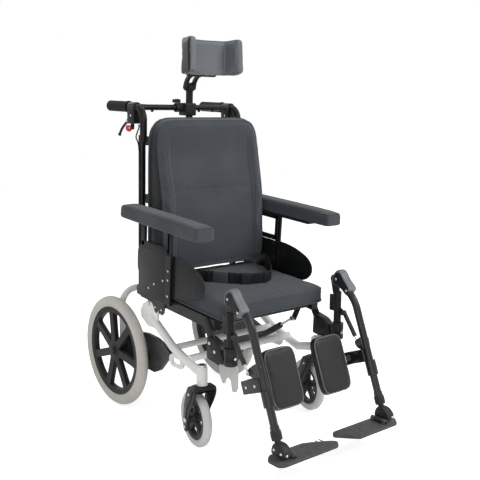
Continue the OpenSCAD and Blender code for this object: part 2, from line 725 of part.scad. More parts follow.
module back_frame() {
    color([0.13, 0.13, 0.14]) at_back() {
        both() {
            difference() {
                union() {
                    translate([cane_x - cane_w / 2, recline_y - cane_d / 2, cane_foot_z])
                        cube([cane_w, cane_d, cane_top_z - cane_foot_z]);
                    handle_tube();
                }
                pin_x(cane_x - cane_w, cane_x + cane_w, recline_y, recline_z, recline_pin_d + 2 * run_gap);
                side_plate(cane_x - cane_w, 2 * cane_w)
                    bar2d([recline_y + slot_d / 3, slot_z0], [recline_y + slot_d / 3, slot_z0 + slot_l], slot_d);
            }
            for (z = strap_places)
                translate([cane_x - cane_w / 2 - cross_strap_h / 2, shell_y + shell_t, z])
                    cube([cross_strap_h / 2 + cane_w / 2, recline_y - cane_d / 2 - shell_y - shell_t, cross_strap_h]);
        }
        for (z = strap_places)
            translate([-cane_x + cane_w / 2, recline_y - cane_d / 2 - cross_strap_t, z])
                cube([2 * cane_x - cane_w, cross_strap_t, cross_strap_h]);
    }
}

back_z0 = 527;
back_beyond_cane = 25;
back_w = 2 * (cane_x + back_beyond_cane);
back_round = 54;

module back_shell() {
    w = back_w / 2 - shell_inset;
    color([0.1, 0.1, 0.1]) at_back() translate([0, shell_y + shell_t, back_z0 + shell_inset]) rotate([90, 0, 0])
        linear_extrude(shell_t) {
            translate([-w, 0]) square([2 * w, back_h - 2 * shell_inset - back_round]);
            translate([-w + back_round, 0]) square([2 * (w - back_round), back_h - 2 * shell_inset]);
            for (x = [-w + back_round, w - back_round])
                translate([x, back_h - 2 * shell_inset - back_round]) circle(r = back_round);
        }
}

back_depth_low = 100;
back_depth_top = 48;
back_recess = 24;
back_seam_share = 0.72;
back_rings = [[0, 70, 0], [0, 4, 0], [0, 1, 0.04], [0, 0, 0.2], [0, 0, 0.7], [0, 0.5, 0.86], [0, 2, 0.93],
    [0, 5, 0.975], [0, 10, 0.995], [0, 22, 1], [0, 40, 1], [1, 58, 1], [1, 70, 1], [1, 100, 1], [1, 140, 1], [1, 190, 1]];
back_points = 72;
back_arch = 7;

// Outline of the back cushion: square below, rounded above
function back_outline(inset) = [for (i = [0 : back_points - 1]) let (a = 360 * i / back_points,
    c = power(cos(a), 0.22), s = power(sin(a), sin(a) > 0 ? 0.38 : 0.2))
    [(back_w / 2 - inset) * c, back_h / 2 + (back_h / 2 - inset) * s + (s < 0 ? back_arch * (1 - c * c) : 0)]];

function back_depth(z) = back_depth_low + (back_depth_top - back_depth_low) * smooth(0.34, 0.9, z / back_h);

module back_cushion() {
    color([0.29, 0.31, 0.33]) at_back() translate([0, shell_y - soft_gap, back_z0])
        ring_skin([for (q = back_rings) [for (p = back_outline(q[1]))
            let (panel = 1 - smooth(back_seam_share - 0.06, back_seam_share + 0.06, abs(p.x) * 2 / back_w),
                dip = back_recess * q[0] * panel * (1 - smooth(0.75, 0.95, p.y / back_h)))
            [p.x, -q[2] * (back_depth(p.y) - dip), p.y]]]);
}

bar_lug_places = [-150, 52, 115];

module push_bar() {
    reach = cane_x - lever_block_w / 2 - soft_gap;
    color([0.17, 0.17, 0.18]) at_back() {
        pin_x(-reach, reach, bar_y, handle_z, bar_d);
        for (x = bar_lug_places)
            translate([x, bar_y - bar_d / 2, handle_z - bar_d / 2 - plate_t]) cube([plate_t, bar_d / 2, 1.6 * plate_t]);
    }
}

module push_grips() {
    color([0.2, 0.2, 0.2]) at_back() both()
        translate([cane_x, grip_end_y, handle_z]) rotate([90, 0, 0]) difference() {
            union() {
                translate([0, 0, -plate_t]) cylinder(h = grip_l + plate_t, d = grip_d);
                translate([0, 0, grip_l]) cylinder(h = plate_t, d = grip_d + plate_t);
            }
            cylinder(h = grip_l + plate_t + cut, d = handle_d);
        }
}

lever_y = 342;
lever_z = handle_z - 50;
lever_block_w = 33;
lever_block_y = 284;
lever_block_l = 46;
lever_t = 8;
lever_pin_d = 5;
latch_y = 318;
latch_z = handle_z - 72;

module lever_brackets() {
    color([0.14, 0.14, 0.15]) at_back() both() {
        difference() {
            union() {
                translate([cane_x - lever_block_w / 2, lever_block_y, lever_z - lever_t])
                    cube([lever_block_w, lever_block_l, handle_z - lever_z + lever_t + handle_d * 0.55]);
                for (x = [-lever_t / 2 - slip_gap - lever_t / 2, lever_t / 2 + slip_gap])
                    side_plate(cane_x + x, lever_t / 2)
                        bar2d([lever_block_y + lever_block_l - lever_t, lever_z], [lever_y, lever_z], 2 * lever_t);
                side_plate(cane_x - lever_t / 2, lever_t)
                    bar2d([latch_y, latch_z], [latch_y, lever_z], lever_t * 1.6);
            }
            handle_tube();
        }
        pin_x(cane_x - lever_t, cane_x + lever_t, lever_y, lever_z, lever_pin_d);
        pin_x(cane_x, cane_x + 2 * lever_t, latch_y, latch_z, lever_pin_d);
    }
}

lever_shares = [[0, 0], [0.3, -0.15], [0.73, -0.56], [1, -1]];
lever_l = 66;
lever_drop = 53;

module brake_lever(s) {
    p = scaled(lever_shares, lever_l, lever_drop, [lever_y, lever_z]);
    color([0.1, 0.1, 0.1]) on_side(s) at_back() {
        difference() {
            side_plate(cane_x - lever_t / 2, lever_t) {
                bar2d(p[0], p[1], lever_t * 1.5);
                bar2d(p[1], p[2], lever_t);
                bar2d(p[2], p[3], lever_t);
            }
            pin_x(cane_x - lever_t, cane_x + lever_t, lever_y, lever_z, lever_pin_d + 2 * run_gap);
        }
        translate([cane_x, p[3].x, p[3].y]) sphere(d = 1.6 * lever_t);
    }
}

latch_shares = [[-0.2, 0.4], [1, 0.4], [1.15, -0.3], [0.5, -0.75], [-0.1, -0.55]];
latch_l = 26;

module brake_latch(s) {
    color([0.8, 0.1, 0.08]) on_side(s) at_back() difference() {
        side_plate(cane_x + lever_t / 2 + slip_gap, lever_t)
            polygon(scaled(latch_shares, latch_l, latch_l * 0.8, [latch_y, latch_z]));
        pin_x(cane_x, cane_x + 2 * lever_t, latch_y, latch_z, lever_pin_d + 2 * run_gap);
    }
}

upper_x = cane_x + cane_w / 2 + cable_d * 0.6;
upper_route = [[cane_x - 10, 293, 1028], [cane_x - 10, 291, 1018], [cane_x + 2, 283, 1001], [cane_x + 13, 273, 984],
    [upper_x, 262, 960],
    [upper_x, 256, 900], [upper_x, 256, 760], [upper_x, 256, 620], [upper_x, 256, 500]];

module brake_cable_upper() {
    color([0.08, 0.08, 0.08]) at_back() both() cable(blend_route(upper_route, 4), cable_d);
}

// Headrest
head_post_y = 268;
head_post_w = 24;
head_post_t = 12;
head_post_z0 = 985;
clamp_w = 44;
clamp_h = 46;
clamp_y0 = 254;
clamp_l = 50;
knob_x = -41;
knob_d = 26;
knob_h = 14;
ball_d = 34;
ball_bore = 14;
yoke_t = 10;
headrest_back_y = 194;
headrest_z = back_z0 + back_h + head_rise;
plate_head_h = 70;

module headrest_clamp() {
    color([0.1, 0.1, 0.1]) at_back() difference() {
        union() {
            translate([-clamp_w / 2, clamp_y0, handle_z - clamp_h / 2 - bar_d / 4]) cube([clamp_w, clamp_l, clamp_h]);
            pin_x(-clamp_w / 2 - knob_d, -clamp_w / 2, bar_y, handle_z, bar_d * 1.5);
        }
        pin_x(-clamp_w - knob_d, clamp_w, bar_y, handle_z, bar_d);
        translate([-head_post_w / 2 - slip_gap, head_post_y - head_post_t / 2 - slip_gap, head_post_z0])
            cube([head_post_w + 2 * slip_gap, head_post_t + 2 * slip_gap, 4 * clamp_h]);
    }
}

module headrest_knob() {
    z = handle_z + bar_d * 0.75;
    color([0.08, 0.08, 0.08]) at_back() translate([knob_x, bar_y, z + slip_gap]) {
        cylinder(h = knob_h, d = knob_d, $fn = 60);
        for (k = [0 : 4])
            rotate(72 * k) translate([knob_d / 2, 0, 0]) cylinder(h = knob_h, d = knob_d / 4);
    }
}

module headrest_post() {
    color([0.15, 0.15, 0.16]) at_back() {
        translate([-head_post_w / 2, head_post_y - head_post_t / 2, head_post_z0])
            cube([head_post_w, head_post_t, headrest_z - ball_d / 2 - head_post_z0 + plate_t]);
        difference() {
            pin_x(-head_post_w / 2, head_post_w / 2, head_post_y, headrest_z, ball_d);
            pin_x(-head_post_w, head_post_w, head_post_y, headrest_z, ball_bore + 2 * run_gap);
        }
    }
}

module headrest_yoke() {
    color([0.12, 0.12, 0.13]) at_back() {
        pin_x(-head_post_w / 2 - yoke_t, head_post_w / 2 + yoke_t, head_post_y, headrest_z, ball_bore);
        for (x = [-head_post_w / 2 - yoke_t, head_post_w / 2 + slip_gap])
            side_plate(x, yoke_t - slip_gap) {
                bar2d([head_post_y, headrest_z], [head_post_y - ball_d / 3, headrest_z + ball_d], ball_d * 0.7);
                bar2d([head_post_y - ball_d / 3, headrest_z + ball_d],
                    [headrest_back_y + ball_d * 0.35 + plate_t, headrest_z + ball_d * 1.5], ball_d * 0.7);
            }
        translate([-plate_head_h, headrest_back_y + soft_gap, headrest_z + ball_d])
            cube([2 * plate_head_h, plate_t, plate_head_h]);
    }
}

head_z0 = headrest_z + 36;
head_steps = 40;
head_ring = 24;
head_turn = 80;
head_corner = 20;
head_side = 60;
head_flat = headrest_w / 2 - headrest_t / 2 - head_corner * sin(head_turn) - head_side * cos(head_turn);
head_arc = head_corner * head_turn * PI / 180;

// Middle line of the headrest: flat behind the head, round a corner, then forward along each side
function head_path(u) = let (s = abs(u) * (head_flat + head_arc + head_side),
    t = head_turn * max(0, min(1, (s - head_flat) / head_arc)), rest = max(0, s - head_flat - head_arc))
    [(u < 0 ? -1 : 1) * (min(s, head_flat) + head_corner * sin(t) + rest * cos(head_turn)),
        headrest_back_y - headrest_t / 2 - head_corner * (1 - cos(t)) - rest * sin(head_turn)];

module headrest_pad() {
    color([0.38, 0.4, 0.42]) at_back() translate([0, 0, head_z0 + headrest_h / 2])
        ring_skin([for (i = [0 : head_steps]) let (u = 2 * i / head_steps - 1,
            t = norm2(head_path(u + 0.01) - head_path(u - 0.01)), n = [-t.y, t.x],
            end = abs(u) > 0.99 ? 0.6 : (abs(u) > 0.92 ? 0.93 : 1), c = head_path(u), lift = 5 * u * u)
            [for (k = [0 : head_ring - 1]) let (a = 360 * k / head_ring,
                side = power(cos(a), 0.5) * headrest_t / 2 * end, up = power(sin(a), 0.32) * (headrest_h / 2) * (end + 1) / 2)
                [c.x + n.x * side, c.y + n.y * side, up + lift]]]);
}

// Leg rests
leg_top = [-330, 502];
leg_bend_point = [-378, 458];
leg_bottom = [-495, 150];
leg_bend = 26;
leg_down = norm2(leg_bottom - leg_bend_point);
leg_angle = atan2(leg_down.x, -leg_down.y);
cheek_t = 6;
cheek_x = post_leg_x - cheek_t / 2;
knee_d = 30;
knee_pin_d = 10;
link_t = 5;
post_leg_top = knee_z - 40;
strut_top = [-316, 405];
strut_foot = [-385, 311];
strut_x = cheek_x + cheek_t + slip_gap;
strut_eye_w = 9;
strut_pin_d = 6;
strut_d = 15;
strut_rod_d = 8;
strut_barrel_l = 88;
strut_dir = norm2(strut_foot - strut_top);

module leg_hanger(s) {
    color([0.13, 0.13, 0.14]) on_side(s) {
        translate([post_leg_x, post_leg_y, receiver_z]) cylinder(h = post_leg_top - receiver_z, d = post_leg_d);
        translate([post_leg_x, post_leg_y, receiver_z + sleeve_h + slip_gap]) cylinder(h = cheek_t, d = sleeve_d);
        difference() {
            side_plate(cheek_x, cheek_t) {
                bar2d([knee_y, knee_z], [post_leg_y, post_leg_top - knee_d], knee_d);
                bar2d([post_leg_y, strut_top.y + knee_d / 2], strut_top, knee_d * 0.6);
            }
            pin_x(cheek_x - cut, cheek_x + cheek_t + cut, knee_y, knee_z, knee_pin_d + 2 * run_gap);
        }
        pin_x(cheek_x, strut_x + strut_eye_w, strut_top.x, strut_top.y, strut_pin_d);
        translate([post_leg_x - cheek_t / 2, post_leg_y + post_leg_d / 2 - cheek_t / 3, strut_top.y])
            cube([cheek_t, knee_d * 0.8, post_leg_top - strut_top.y - knee_d / 2]);
    }
}

cover_w = 34;
cover_wall = 3;
cover_shares = [[-0.04, -0.04], [-0.07, 0.22], [-0.2, 0.48], [-0.4, 0.7], [-0.62, 0.79], [-0.85, 0.76], [-1.05, 0.6],
    [-1.3, 0.3], [-1.92, -0.42], [-1.92, -0.56], [-1.62, -0.98], [-1.5, -0.98], [-1.15, -0.7], [-0.7, -0.5], [-0.3, -0.42],
    [-0.12, -0.25]];
cover_mouth_shares = [[-0.55, -2], [-0.55, 0.1], [0.1, 0.6], [2, 0.2], [2, -2]];
cover_r = 45;
link_x0 = cheek_x - slip_gap - link_t;
link_x1 = cheek_x + cheek_t + slip_gap;

module knee_cover(s) {
    x0 = post_leg_x - cover_w / 2;
    outline = scaled(cover_shares, cover_r, cover_r, [knee_y, knee_z]);
    color([0.42, 0.43, 0.44]) on_side(s) difference() {
        union() {
            for (x = [x0, x0 + cover_w - cover_wall]) side_plate(x, cover_wall) polygon(outline);
            side_plate(x0 + cover_wall, cover_w - 2 * cover_wall) difference() {
                polygon(outline);
                polygon(scaled(cover_shares, cover_r * 0.88, cover_r * 0.84,
                    [knee_y - cover_r * 0.08, knee_z + cover_r * 0.02]));
                polygon(scaled(cover_mouth_shares, cover_r, cover_r, [knee_y, knee_z]));
            }
        }
        rod([leg_x, leg_top.x, leg_top.y], [leg_x, leg_bend_point.x, leg_bend_point.y], leg_tube_d + 2 * slip_gap);
        rod([leg_x, leg_bend_point.x, leg_bend_point.y], [leg_x, leg_bottom.x, leg_bottom.y], leg_tube_d + 2 * slip_gap);
        pin_x(x0 - cut, x0 + cover_w + cut, knee_y, knee_z, knee_pin_d);
    }
}

bore_l = 190;
calf_z = 270;
calf_y = -388;
calf_x = 105.5;
calf_pin_x = 184;
calf_pin_d = 8;
calf_pin_y = 26;
calf_clamp_d = 34;
calf_lug_h = 9;
calf_knuckle_h = 24;
clamp_down = 222;
calf_arm_y = -46;
leg_l = norm(leg_bottom - leg_bend_point);

module at_calf() {
    translate([0, calf_y, calf_z]) rotate([leg_angle, 0, 0]) children();
}

module leg_tube(s) {
    strut_plate_x = strut_x - slip_gap - cheek_t;
    leg_at = along(leg_bend_point, leg_bottom,
        (leg_bend_point.y - strut_foot.y + knee_d / 2) / (leg_bend_point.y - leg_bottom.y));
    color([0.18, 0.18, 0.19]) on_side(s) {
        difference() {
            union() {
                side_tube(leg_x, [leg_top, leg_bend_point, leg_bottom], leg_tube_d, leg_bend);
                side_plate(link_x0, link_t) {
                    bar2d([knee_y, knee_z], along(leg_top, leg_bend_point, 0.3), knee_d * 0.36);
                    circle_at([knee_y, knee_z], knee_d * 0.7);
                }
                side_plate(strut_plate_x, cheek_t) bar2d(leg_at, strut_foot, knee_d * 0.7);
                leg_rod(clamp_down - calf_lug_h, clamp_down + calf_lug_h, calf_clamp_d);
                calf_arm();
            }
            leg_rod(leg_l - bore_l, leg_l + cut, foot_tube_d + 2 * run_gap);
            side_plate(cheek_x - slip_gap, cover_w) circle_at([knee_y, knee_z], knee_d * 1.15);
        }
        pin_x(link_x0, link_x1 + link_t, knee_y, knee_z, knee_pin_d);
    }
}

// Round bar along the leg tube, from one distance below its bend to another
module leg_rod(from, to, d) {
    a = leg_bend_point + leg_down * from;
    b = leg_bend_point + leg_down * to;
    rod([leg_x, a.x, a.y], [leg_x, b.x, b.y], d);
}

module circle_at(p, d) {
    translate(p) circle(d = d);
}

// Arm from the tube clamp round to the hinge pin behind the calf pad
module calf_arm() {
    for (z = [-calf_knuckle_h / 2 - slip_gap - calf_lug_h, calf_knuckle_h / 2 + slip_gap])
        at_calf() translate([0, 0, z]) linear_extrude(calf_lug_h)
            bar2d([calf_pin_x, calf_pin_y], [leg_x - leg_tube_d / 4, calf_pin_y], calf_lug_h * 2);
    at_calf() translate([0, 0, -calf_knuckle_h / 2 - slip_gap - calf_lug_h])
        linear_extrude(calf_knuckle_h + 2 * slip_gap + 2 * calf_lug_h)
            bar2d([leg_x, calf_pin_y], [leg_x, calf_arm_y], calf_lug_h * 1.6);
    at_calf() translate([calf_pin_x, calf_pin_y, -calf_knuckle_h / 2 - slip_gap - calf_lug_h])
        cylinder(h = calf_knuckle_h + 2 * slip_gap + 2 * calf_lug_h, d = calf_pin_d);
}

calf_steps = [[30, 0, 1, 0], [5, 0, 1, 0], [1, 0.1, 1, 0], [0, 0.3, 1, 0], [0, 0.72, 1, 0], [2, 0.88, 1, 0], [5, 0.97, 1, 0.4],
    [12, 1, 1, 1], [26, 1, 1, 1]];
calf_crown = 4;

module calf_pad(s) {
    color([0.25, 0.25, 0.24]) on_side(s) at_calf() {
        translate([calf_x, calf_t / 2, 0]) rotate([90, 0, 0])
            ring_skin(pad_rings(calf_w, calf_h, calf_t - calf_crown, calf_steps, calf_crown, 1, 44, 5));
        translate([calf_x - calf_w / 3, calf_t / 2, -calf_knuckle_h]) cube([calf_w * 0.7, cheek_t, 2 * calf_knuckle_h]);
        difference() {
            translate([0, 0, -calf_knuckle_h / 2]) linear_extrude(calf_knuckle_h)
                bar2d([calf_pin_x, calf_pin_y], [calf_x + calf_w / 4, calf_t / 2 + cheek_t * 1.4], calf_lug_h * 1.6);
            translate([calf_pin_x, calf_pin_y, -calf_knuckle_h]) cylinder(h = 2 * calf_knuckle_h, d = calf_pin_d + 2 * run_gap);
            translate([0, -calf_t / 2 - cut, -calf_knuckle_h]) cube([calf_pin_x, calf_t + cut, 2 * calf_knuckle_h]);
        }
    }
}

module strut_barrel(s) {
    color([0.1, 0.1, 0.1]) on_side(s) {
        x = strut_x + strut_eye_w / 2;
        difference() {
            union() {
                pin_x(strut_x, strut_x + strut_eye_w, strut_top.x, strut_top.y, strut_d);
                rod([x, strut_top.x, strut_top.y],
                    [x, strut_top.x + strut_dir.x * strut_barrel_l, strut_top.y + strut_dir.y * strut_barrel_l], strut_d);
            }
            pin_x(strut_x - strut_d, strut_x + 2 * strut_d, strut_top.x, strut_top.y, strut_pin_d + 2 * run_gap);
            rod([x, strut_top.x + strut_dir.x * strut_pin_d * 1.5, strut_top.y + strut_dir.y * strut_pin_d * 1.5],
                [x, strut_top.x + strut_dir.x * (strut_barrel_l + cut), strut_top.y + strut_dir.y * (strut_barrel_l + cut)],
                strut_rod_d + 2 * run_gap);
            for (side = [-strut_d, strut_eye_w])
                side_plate(strut_x + side, strut_d) circle_at(strut_top, 2 * strut_d);
        }
    }
}

module strut_rod(s) {
    x = strut_x + strut_eye_w / 2;
    color([0.7, 0.7, 0.7]) on_side(s) difference() {
        union() {
            rod([x, strut_top.x + strut_dir.x * strut_pin_d * 2, strut_top.y + strut_dir.y * strut_pin_d * 2],
                [x, strut_foot.x, strut_foot.y], strut_rod_d);
            pin_x(strut_x, strut_x + strut_eye_w, strut_foot.x, strut_foot.y, strut_d);
        }
        pin_x(strut_x - strut_d, strut_x + 2 * strut_d, strut_foot.x, strut_foot.y, strut_pin_d);
    }
}

foot_end = leg_bend_point + leg_down * 1.1 * leg_l;
block_w = 32;
block_x0 = 208;
block_y0 = -546;
block_l = 60;
block_z0 = 96;
block_h = 38;
foot_hinge_x = 198;
foot_hinge_d = 15;
foot_pin_d = 7;
foot_hinge_z = footplate_z + footplate_t / 2 + foot_hinge_d / 2 + slip_gap;
knuckle_l = 14;

module foot_tube(s) {
    color([0.2, 0.2, 0.21]) on_side(s) {
        rod([leg_x, leg_bottom.x - leg_down.x * bore_l * 0.8, leg_bottom.y - leg_down.y * bore_l * 0.8],
            [leg_x, foot_end.x, foot_end.y], foot_tube_d);
        difference() {
            union() {
                translate([block_x0, block_y0, block_z0]) cube([block_w, block_l, block_h]);
                translate([foot_hinge_x, block_y0 + knuckle_l + slip_gap, foot_hinge_z]) rotate([-90, 0, 0])
                    cylinder(h = block_l - 2 * knuckle_l - 2 * slip_gap, d = foot_hinge_d);
                translate([foot_hinge_x, block_y0 + knuckle_l + slip_gap, foot_hinge_z - foot_pin_d / 2])
                    cube([block_x0 - foot_hinge_x, block_l - 2 * knuckle_l - 2 * slip_gap, foot_pin_d]);
            }
            rod([leg_x, leg_bottom.x, leg_bottom.y], [leg_x, foot_end.x, foot_end.y], foot_tube_d);
        }
        translate([foot_hinge_x, block_y0, foot_hinge_z]) rotate([-90, 0, 0]) cylinder(h = block_l, d = foot_pin_d);
    }
}

plate_inner_x = 8;
plate_outer_x = 264;
plate_y0 = -559;
plate_shares_right = [[1, 0.12], [1, 0.72], [0.9, 1], [0.38, 1], [0.07, 0.5], [0.01, 0.3], [0.09, 0], [0.93, 0]];
plate_shares_left = [[1, 0.34], [1, 0.72], [0.92, 1], [0.07, 1], [0, 0.75], [0.22, 0], [0.9, 0]];

module footplate(s) {
    shares = s > 0 ? plate_shares_left : plate_shares_right;
    color([0.29, 0.3, 0.31]) on_side(s) {
        difference() {
            translate([0, 0, footplate_z - footplate_t / 2]) linear_extrude(footplate_t)
                polygon(scaled(shares, plate_outer_x - plate_inner_x, footplate_d, [plate_inner_x, plate_y0]));
            translate([foot_hinge_x, block_y0, foot_hinge_z]) rotate([-90, 0, 0])
                cylinder(h = block_l, d = foot_hinge_d + 2 * slip_gap);
        }
        for (y = [block_y0, block_y0 + block_l - knuckle_l])
            difference() {
                union() {
                    translate([foot_hinge_x, y, foot_hinge_z]) rotate([-90, 0, 0]) cylinder(h = knuckle_l, d = foot_hinge_d);
                    translate([foot_hinge_x - foot_hinge_d, y, footplate_z + footplate_t / 2 - cut])
                        cube([foot_hinge_d, knuckle_l, foot_hinge_z - footplate_z - footplate_t / 2 + cut]);
                }
                translate([foot_hinge_x, y - cut, foot_hinge_z]) rotate([-90, 0, 0])
                    cylinder(h = knuckle_l + 2 * cut, d = foot_pin_d + 2 * run_gap);
            }
    }
}

// Gas spring for the tilt
spring_x = 150;
spring_eye_w = 10;
spring_foot = [18, 260];
spring_top = [-155, 367];
spring_top_seat = [(spring_top.x - pitch_y) * cos(seat_pitch) + (spring_top.y - pitch_z) * sin(seat_pitch) + pitch_y,
    -(spring_top.x - pitch_y) * sin(seat_pitch) + (spring_top.y - pitch_z) * cos(seat_pitch) + pitch_z];
spring_dir = norm2(spring_top - spring_foot);
spring_d = 22;
spring_rod_d = 9;
spring_pin_d = 8;
spring_barrel_l = 134;

module spring_lugs() {
    for (x = [spring_x - spring_eye_w / 2 - slip_gap - lug_t, spring_x + spring_eye_w / 2 + slip_gap])
        side_plate(x, lug_t) bar2d(cross_rear, spring_foot, spring_d * 0.7);
    pin_x(spring_x - spring_eye_w, spring_x + spring_eye_w, spring_foot.x, spring_foot.y, spring_pin_d);
}

module spring_rod_at(a, b, d) {
    rod([spring_x, spring_foot.x + spring_dir.x * a, spring_foot.y + spring_dir.y * a],
        [spring_x, spring_foot.x + spring_dir.x * b, spring_foot.y + spring_dir.y * b], d);
}

module tilt_spring_barrel() {
    color([0.08, 0.08, 0.08]) difference() {
        union() {
            pin_x(spring_x - spring_eye_w / 2, spring_x + spring_eye_w / 2, spring_foot.x, spring_foot.y, spring_d * 0.8);
            spring_rod_at(0, spring_d * 1.3, spring_eye_w * 0.9);
            spring_rod_at(spring_d * 1.2, spring_barrel_l, spring_d);
        }
        pin_x(spring_x - spring_d, spring_x + spring_d, spring_foot.x, spring_foot.y, spring_pin_d + 2 * run_gap);
        spring_rod_at(spring_d * 1.4, spring_barrel_l + cut, spring_rod_d + 2 * run_gap);
    }
}

module tilt_spring_rod() {
    reach = norm(spring_top - spring_foot);
    color([0.75, 0.75, 0.76]) difference() {
        union() {
            spring_rod_at(spring_d * 1.5, reach, spring_rod_d);
            pin_x(spring_x - spring_eye_w / 2, spring_x + spring_eye_w / 2, spring_top.x, spring_top.y, spring_d * 0.8);
        }
        pin_x(spring_x - spring_d, spring_x + spring_d, spring_top.x, spring_top.y, spring_pin_d);
    }
}

base_frame();
axle_brackets();
frame_bolts();
brake_cable_lower();
rear_wheel(-1);  // rear_wheel_right
rear_wheel(1);  // rear_wheel_left
rear_tyre(-1);  // rear_tyre_right
rear_tyre(1);  // rear_tyre_left
caster_fork(-1);  // caster_fork_right
caster_fork(1);  // caster_fork_left
caster_wheel(-1);  // caster_wheel_right
caster_wheel(1);  // caster_wheel_left
caster_tyre(-1);  // caster_tyre_right
caster_tyre(1);  // caster_tyre_left
seat_frame();
seat_pan();
seat_cushion();
side_guards();
leg_receivers();
seat_bolts();
lap_belt();
belt_buckle();
arm_post(-1);  // arm_post_right
arm_post(1);  // arm_post_left
arm_pad(-1);  // arm_pad_right
arm_pad(1);  // arm_pad_left
back_frame();
back_shell();
back_cushion();
push_bar();
push_grips();
lever_brackets();
brake_cable_upper();
brake_lever(-1);  // brake_lever_right
brake_lever(1);  // brake_lever_left
brake_latch(-1);  // brake_latch_right
brake_latch(1);  // brake_latch_left
headrest_clamp();
headrest_knob();
headrest_post();
headrest_yoke();
headrest_pad();
leg_hanger(-1);  // leg_hanger_right
leg_hanger(1);  // leg_hanger_left
knee_cover(-1);  // knee_cover_right
knee_cover(1);  // knee_cover_left
leg_tube(-1);  // leg_tube_right
leg_tube(1);  // leg_tube_left
strut_barrel(-1);  // strut_barrel_right
strut_barrel(1);  // strut_barrel_left
strut_rod(-1);  // strut_rod_right
strut_rod(1);  // strut_rod_left
foot_tube(-1);  // foot_tube_right
foot_tube(1);  // foot_tube_left
footplate(-1);  // footplate_right
footplate(1);  // footplate_left
calf_pad(-1);  // calf_pad_right
calf_pad(1);  // calf_pad_left
tilt_spring_barrel();
tilt_spring_rod();
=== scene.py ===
import json
import math
import bmesh
import bpy
import numpy as np
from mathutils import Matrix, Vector

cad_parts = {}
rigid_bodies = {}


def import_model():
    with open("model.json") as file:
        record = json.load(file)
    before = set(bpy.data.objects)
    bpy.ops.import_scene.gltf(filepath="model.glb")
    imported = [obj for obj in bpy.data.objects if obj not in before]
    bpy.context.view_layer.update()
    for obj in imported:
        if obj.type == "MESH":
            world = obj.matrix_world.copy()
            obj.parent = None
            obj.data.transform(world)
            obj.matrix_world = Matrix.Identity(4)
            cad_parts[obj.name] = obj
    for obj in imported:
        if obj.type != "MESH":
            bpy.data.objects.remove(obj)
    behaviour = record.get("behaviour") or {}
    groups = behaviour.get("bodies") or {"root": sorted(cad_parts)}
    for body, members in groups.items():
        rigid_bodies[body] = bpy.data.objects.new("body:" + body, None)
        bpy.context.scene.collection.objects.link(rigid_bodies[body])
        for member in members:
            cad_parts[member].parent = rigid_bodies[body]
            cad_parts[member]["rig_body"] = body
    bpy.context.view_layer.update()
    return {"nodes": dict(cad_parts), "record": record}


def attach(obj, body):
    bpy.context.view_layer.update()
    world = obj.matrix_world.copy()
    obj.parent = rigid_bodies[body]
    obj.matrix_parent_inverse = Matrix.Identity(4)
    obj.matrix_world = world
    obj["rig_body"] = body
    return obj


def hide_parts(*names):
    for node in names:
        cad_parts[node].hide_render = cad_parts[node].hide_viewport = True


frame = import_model()
nodes = frame["nodes"]
scene = bpy.context.scene
print("frame loaded:", len(nodes), "nodes")

# Camera: where the photographer stood, in metres
camera = {"at": (-1.6337, -2.0625, 1.0631), "towards": (0.0, -0.051, 0.645), "lens": 57.7}
lamps = {
    "key": {"at": (1.7, -3.1, 3.4), "size": 2.2, "power": 120},
    "fill": {"at": (-2.6, -2.4, 1.6), "size": 3.2, "power": 30},
    "rim": {"at": (-0.6, 2.9, 2.7), "size": 2.2, "power": 30},
}
stage = {"radius": 9.0, "floor": (0.9, 0.9, 0.9), "floorGlow": 0.62, "ambient": 0.52}


def aim(obj, at, towards):
    obj.location = at
    obj.rotation_euler = (Vector(towards) - Vector(at)).to_track_quat("-Z", "Y").to_euler()


def buildCamera():
    lens = bpy.data.cameras.new("camera")
    lens.sensor_width = 36
    lens.lens = camera["lens"]
    lens.clip_end = 60
    obj = bpy.data.objects.new("camera", lens)
    scene.collection.objects.link(obj)
    aim(obj, camera["at"], camera["towards"])
    scene.camera = obj


def buildLamps():
    for name, lamp in lamps.items():
        light = bpy.data.lights.new(name, "AREA")
        light.shape = "DISK"
        light.size = lamp["size"]
        light.energy = lamp["power"]
        obj = bpy.data.objects.new(name, light)
        scene.collection.objects.link(obj)
        aim(obj, lamp["at"], (0, 0, 0.6))


# 1 where the camera, a reflection or a view through glass looks, 0 for light that falls on things
def sightMask(tree):
    path = tree.nodes.new("ShaderNodeLightPath")
    both = tree.nodes.new("ShaderNodeMath")
    both.operation = "MAXIMUM"
    tree.links.new(path.outputs["Is Camera Ray"], both.inputs[0])
    tree.links.new(path.outputs["Is Glossy Ray"], both.inputs[1])
    three = tree.nodes.new("ShaderNodeMath")
    three.operation = "MAXIMUM"
    tree.links.new(both.outputs[0], three.inputs[0])
    tree.links.new(path.outputs["Is Transmission Ray"], three.inputs[1])
    return three.outputs[0]


def buildWorld():
    world = bpy.data.worlds.new("studio")
    scene.world = world
    world.use_nodes = True
    tree = world.node_tree
    tree.nodes.clear()
    room = tree.nodes.new("ShaderNodeBackground")
    room.inputs["Color"].default_value = (1, 1, 1, 1)
    room.inputs["Strength"].default_value = stage["ambient"]
    white = tree.nodes.new("ShaderNodeBackground")
    white.inputs["Color"].default_value = (1, 1, 1, 1)
    white.inputs["Strength"].default_value = 1
    mix = tree.nodes.new("ShaderNodeMixShader")
    out = tree.nodes.new("ShaderNodeOutputWorld")
    tree.links.new(sightMask(tree), mix.inputs[0])
    tree.links.new(room.outputs[0], mix.inputs[1])
    tree.links.new(white.outputs[0], mix.inputs[2])
    tree.links.new(mix.outputs[0], out.inputs["Surface"])
    scene.view_settings.view_transform = "Standard"


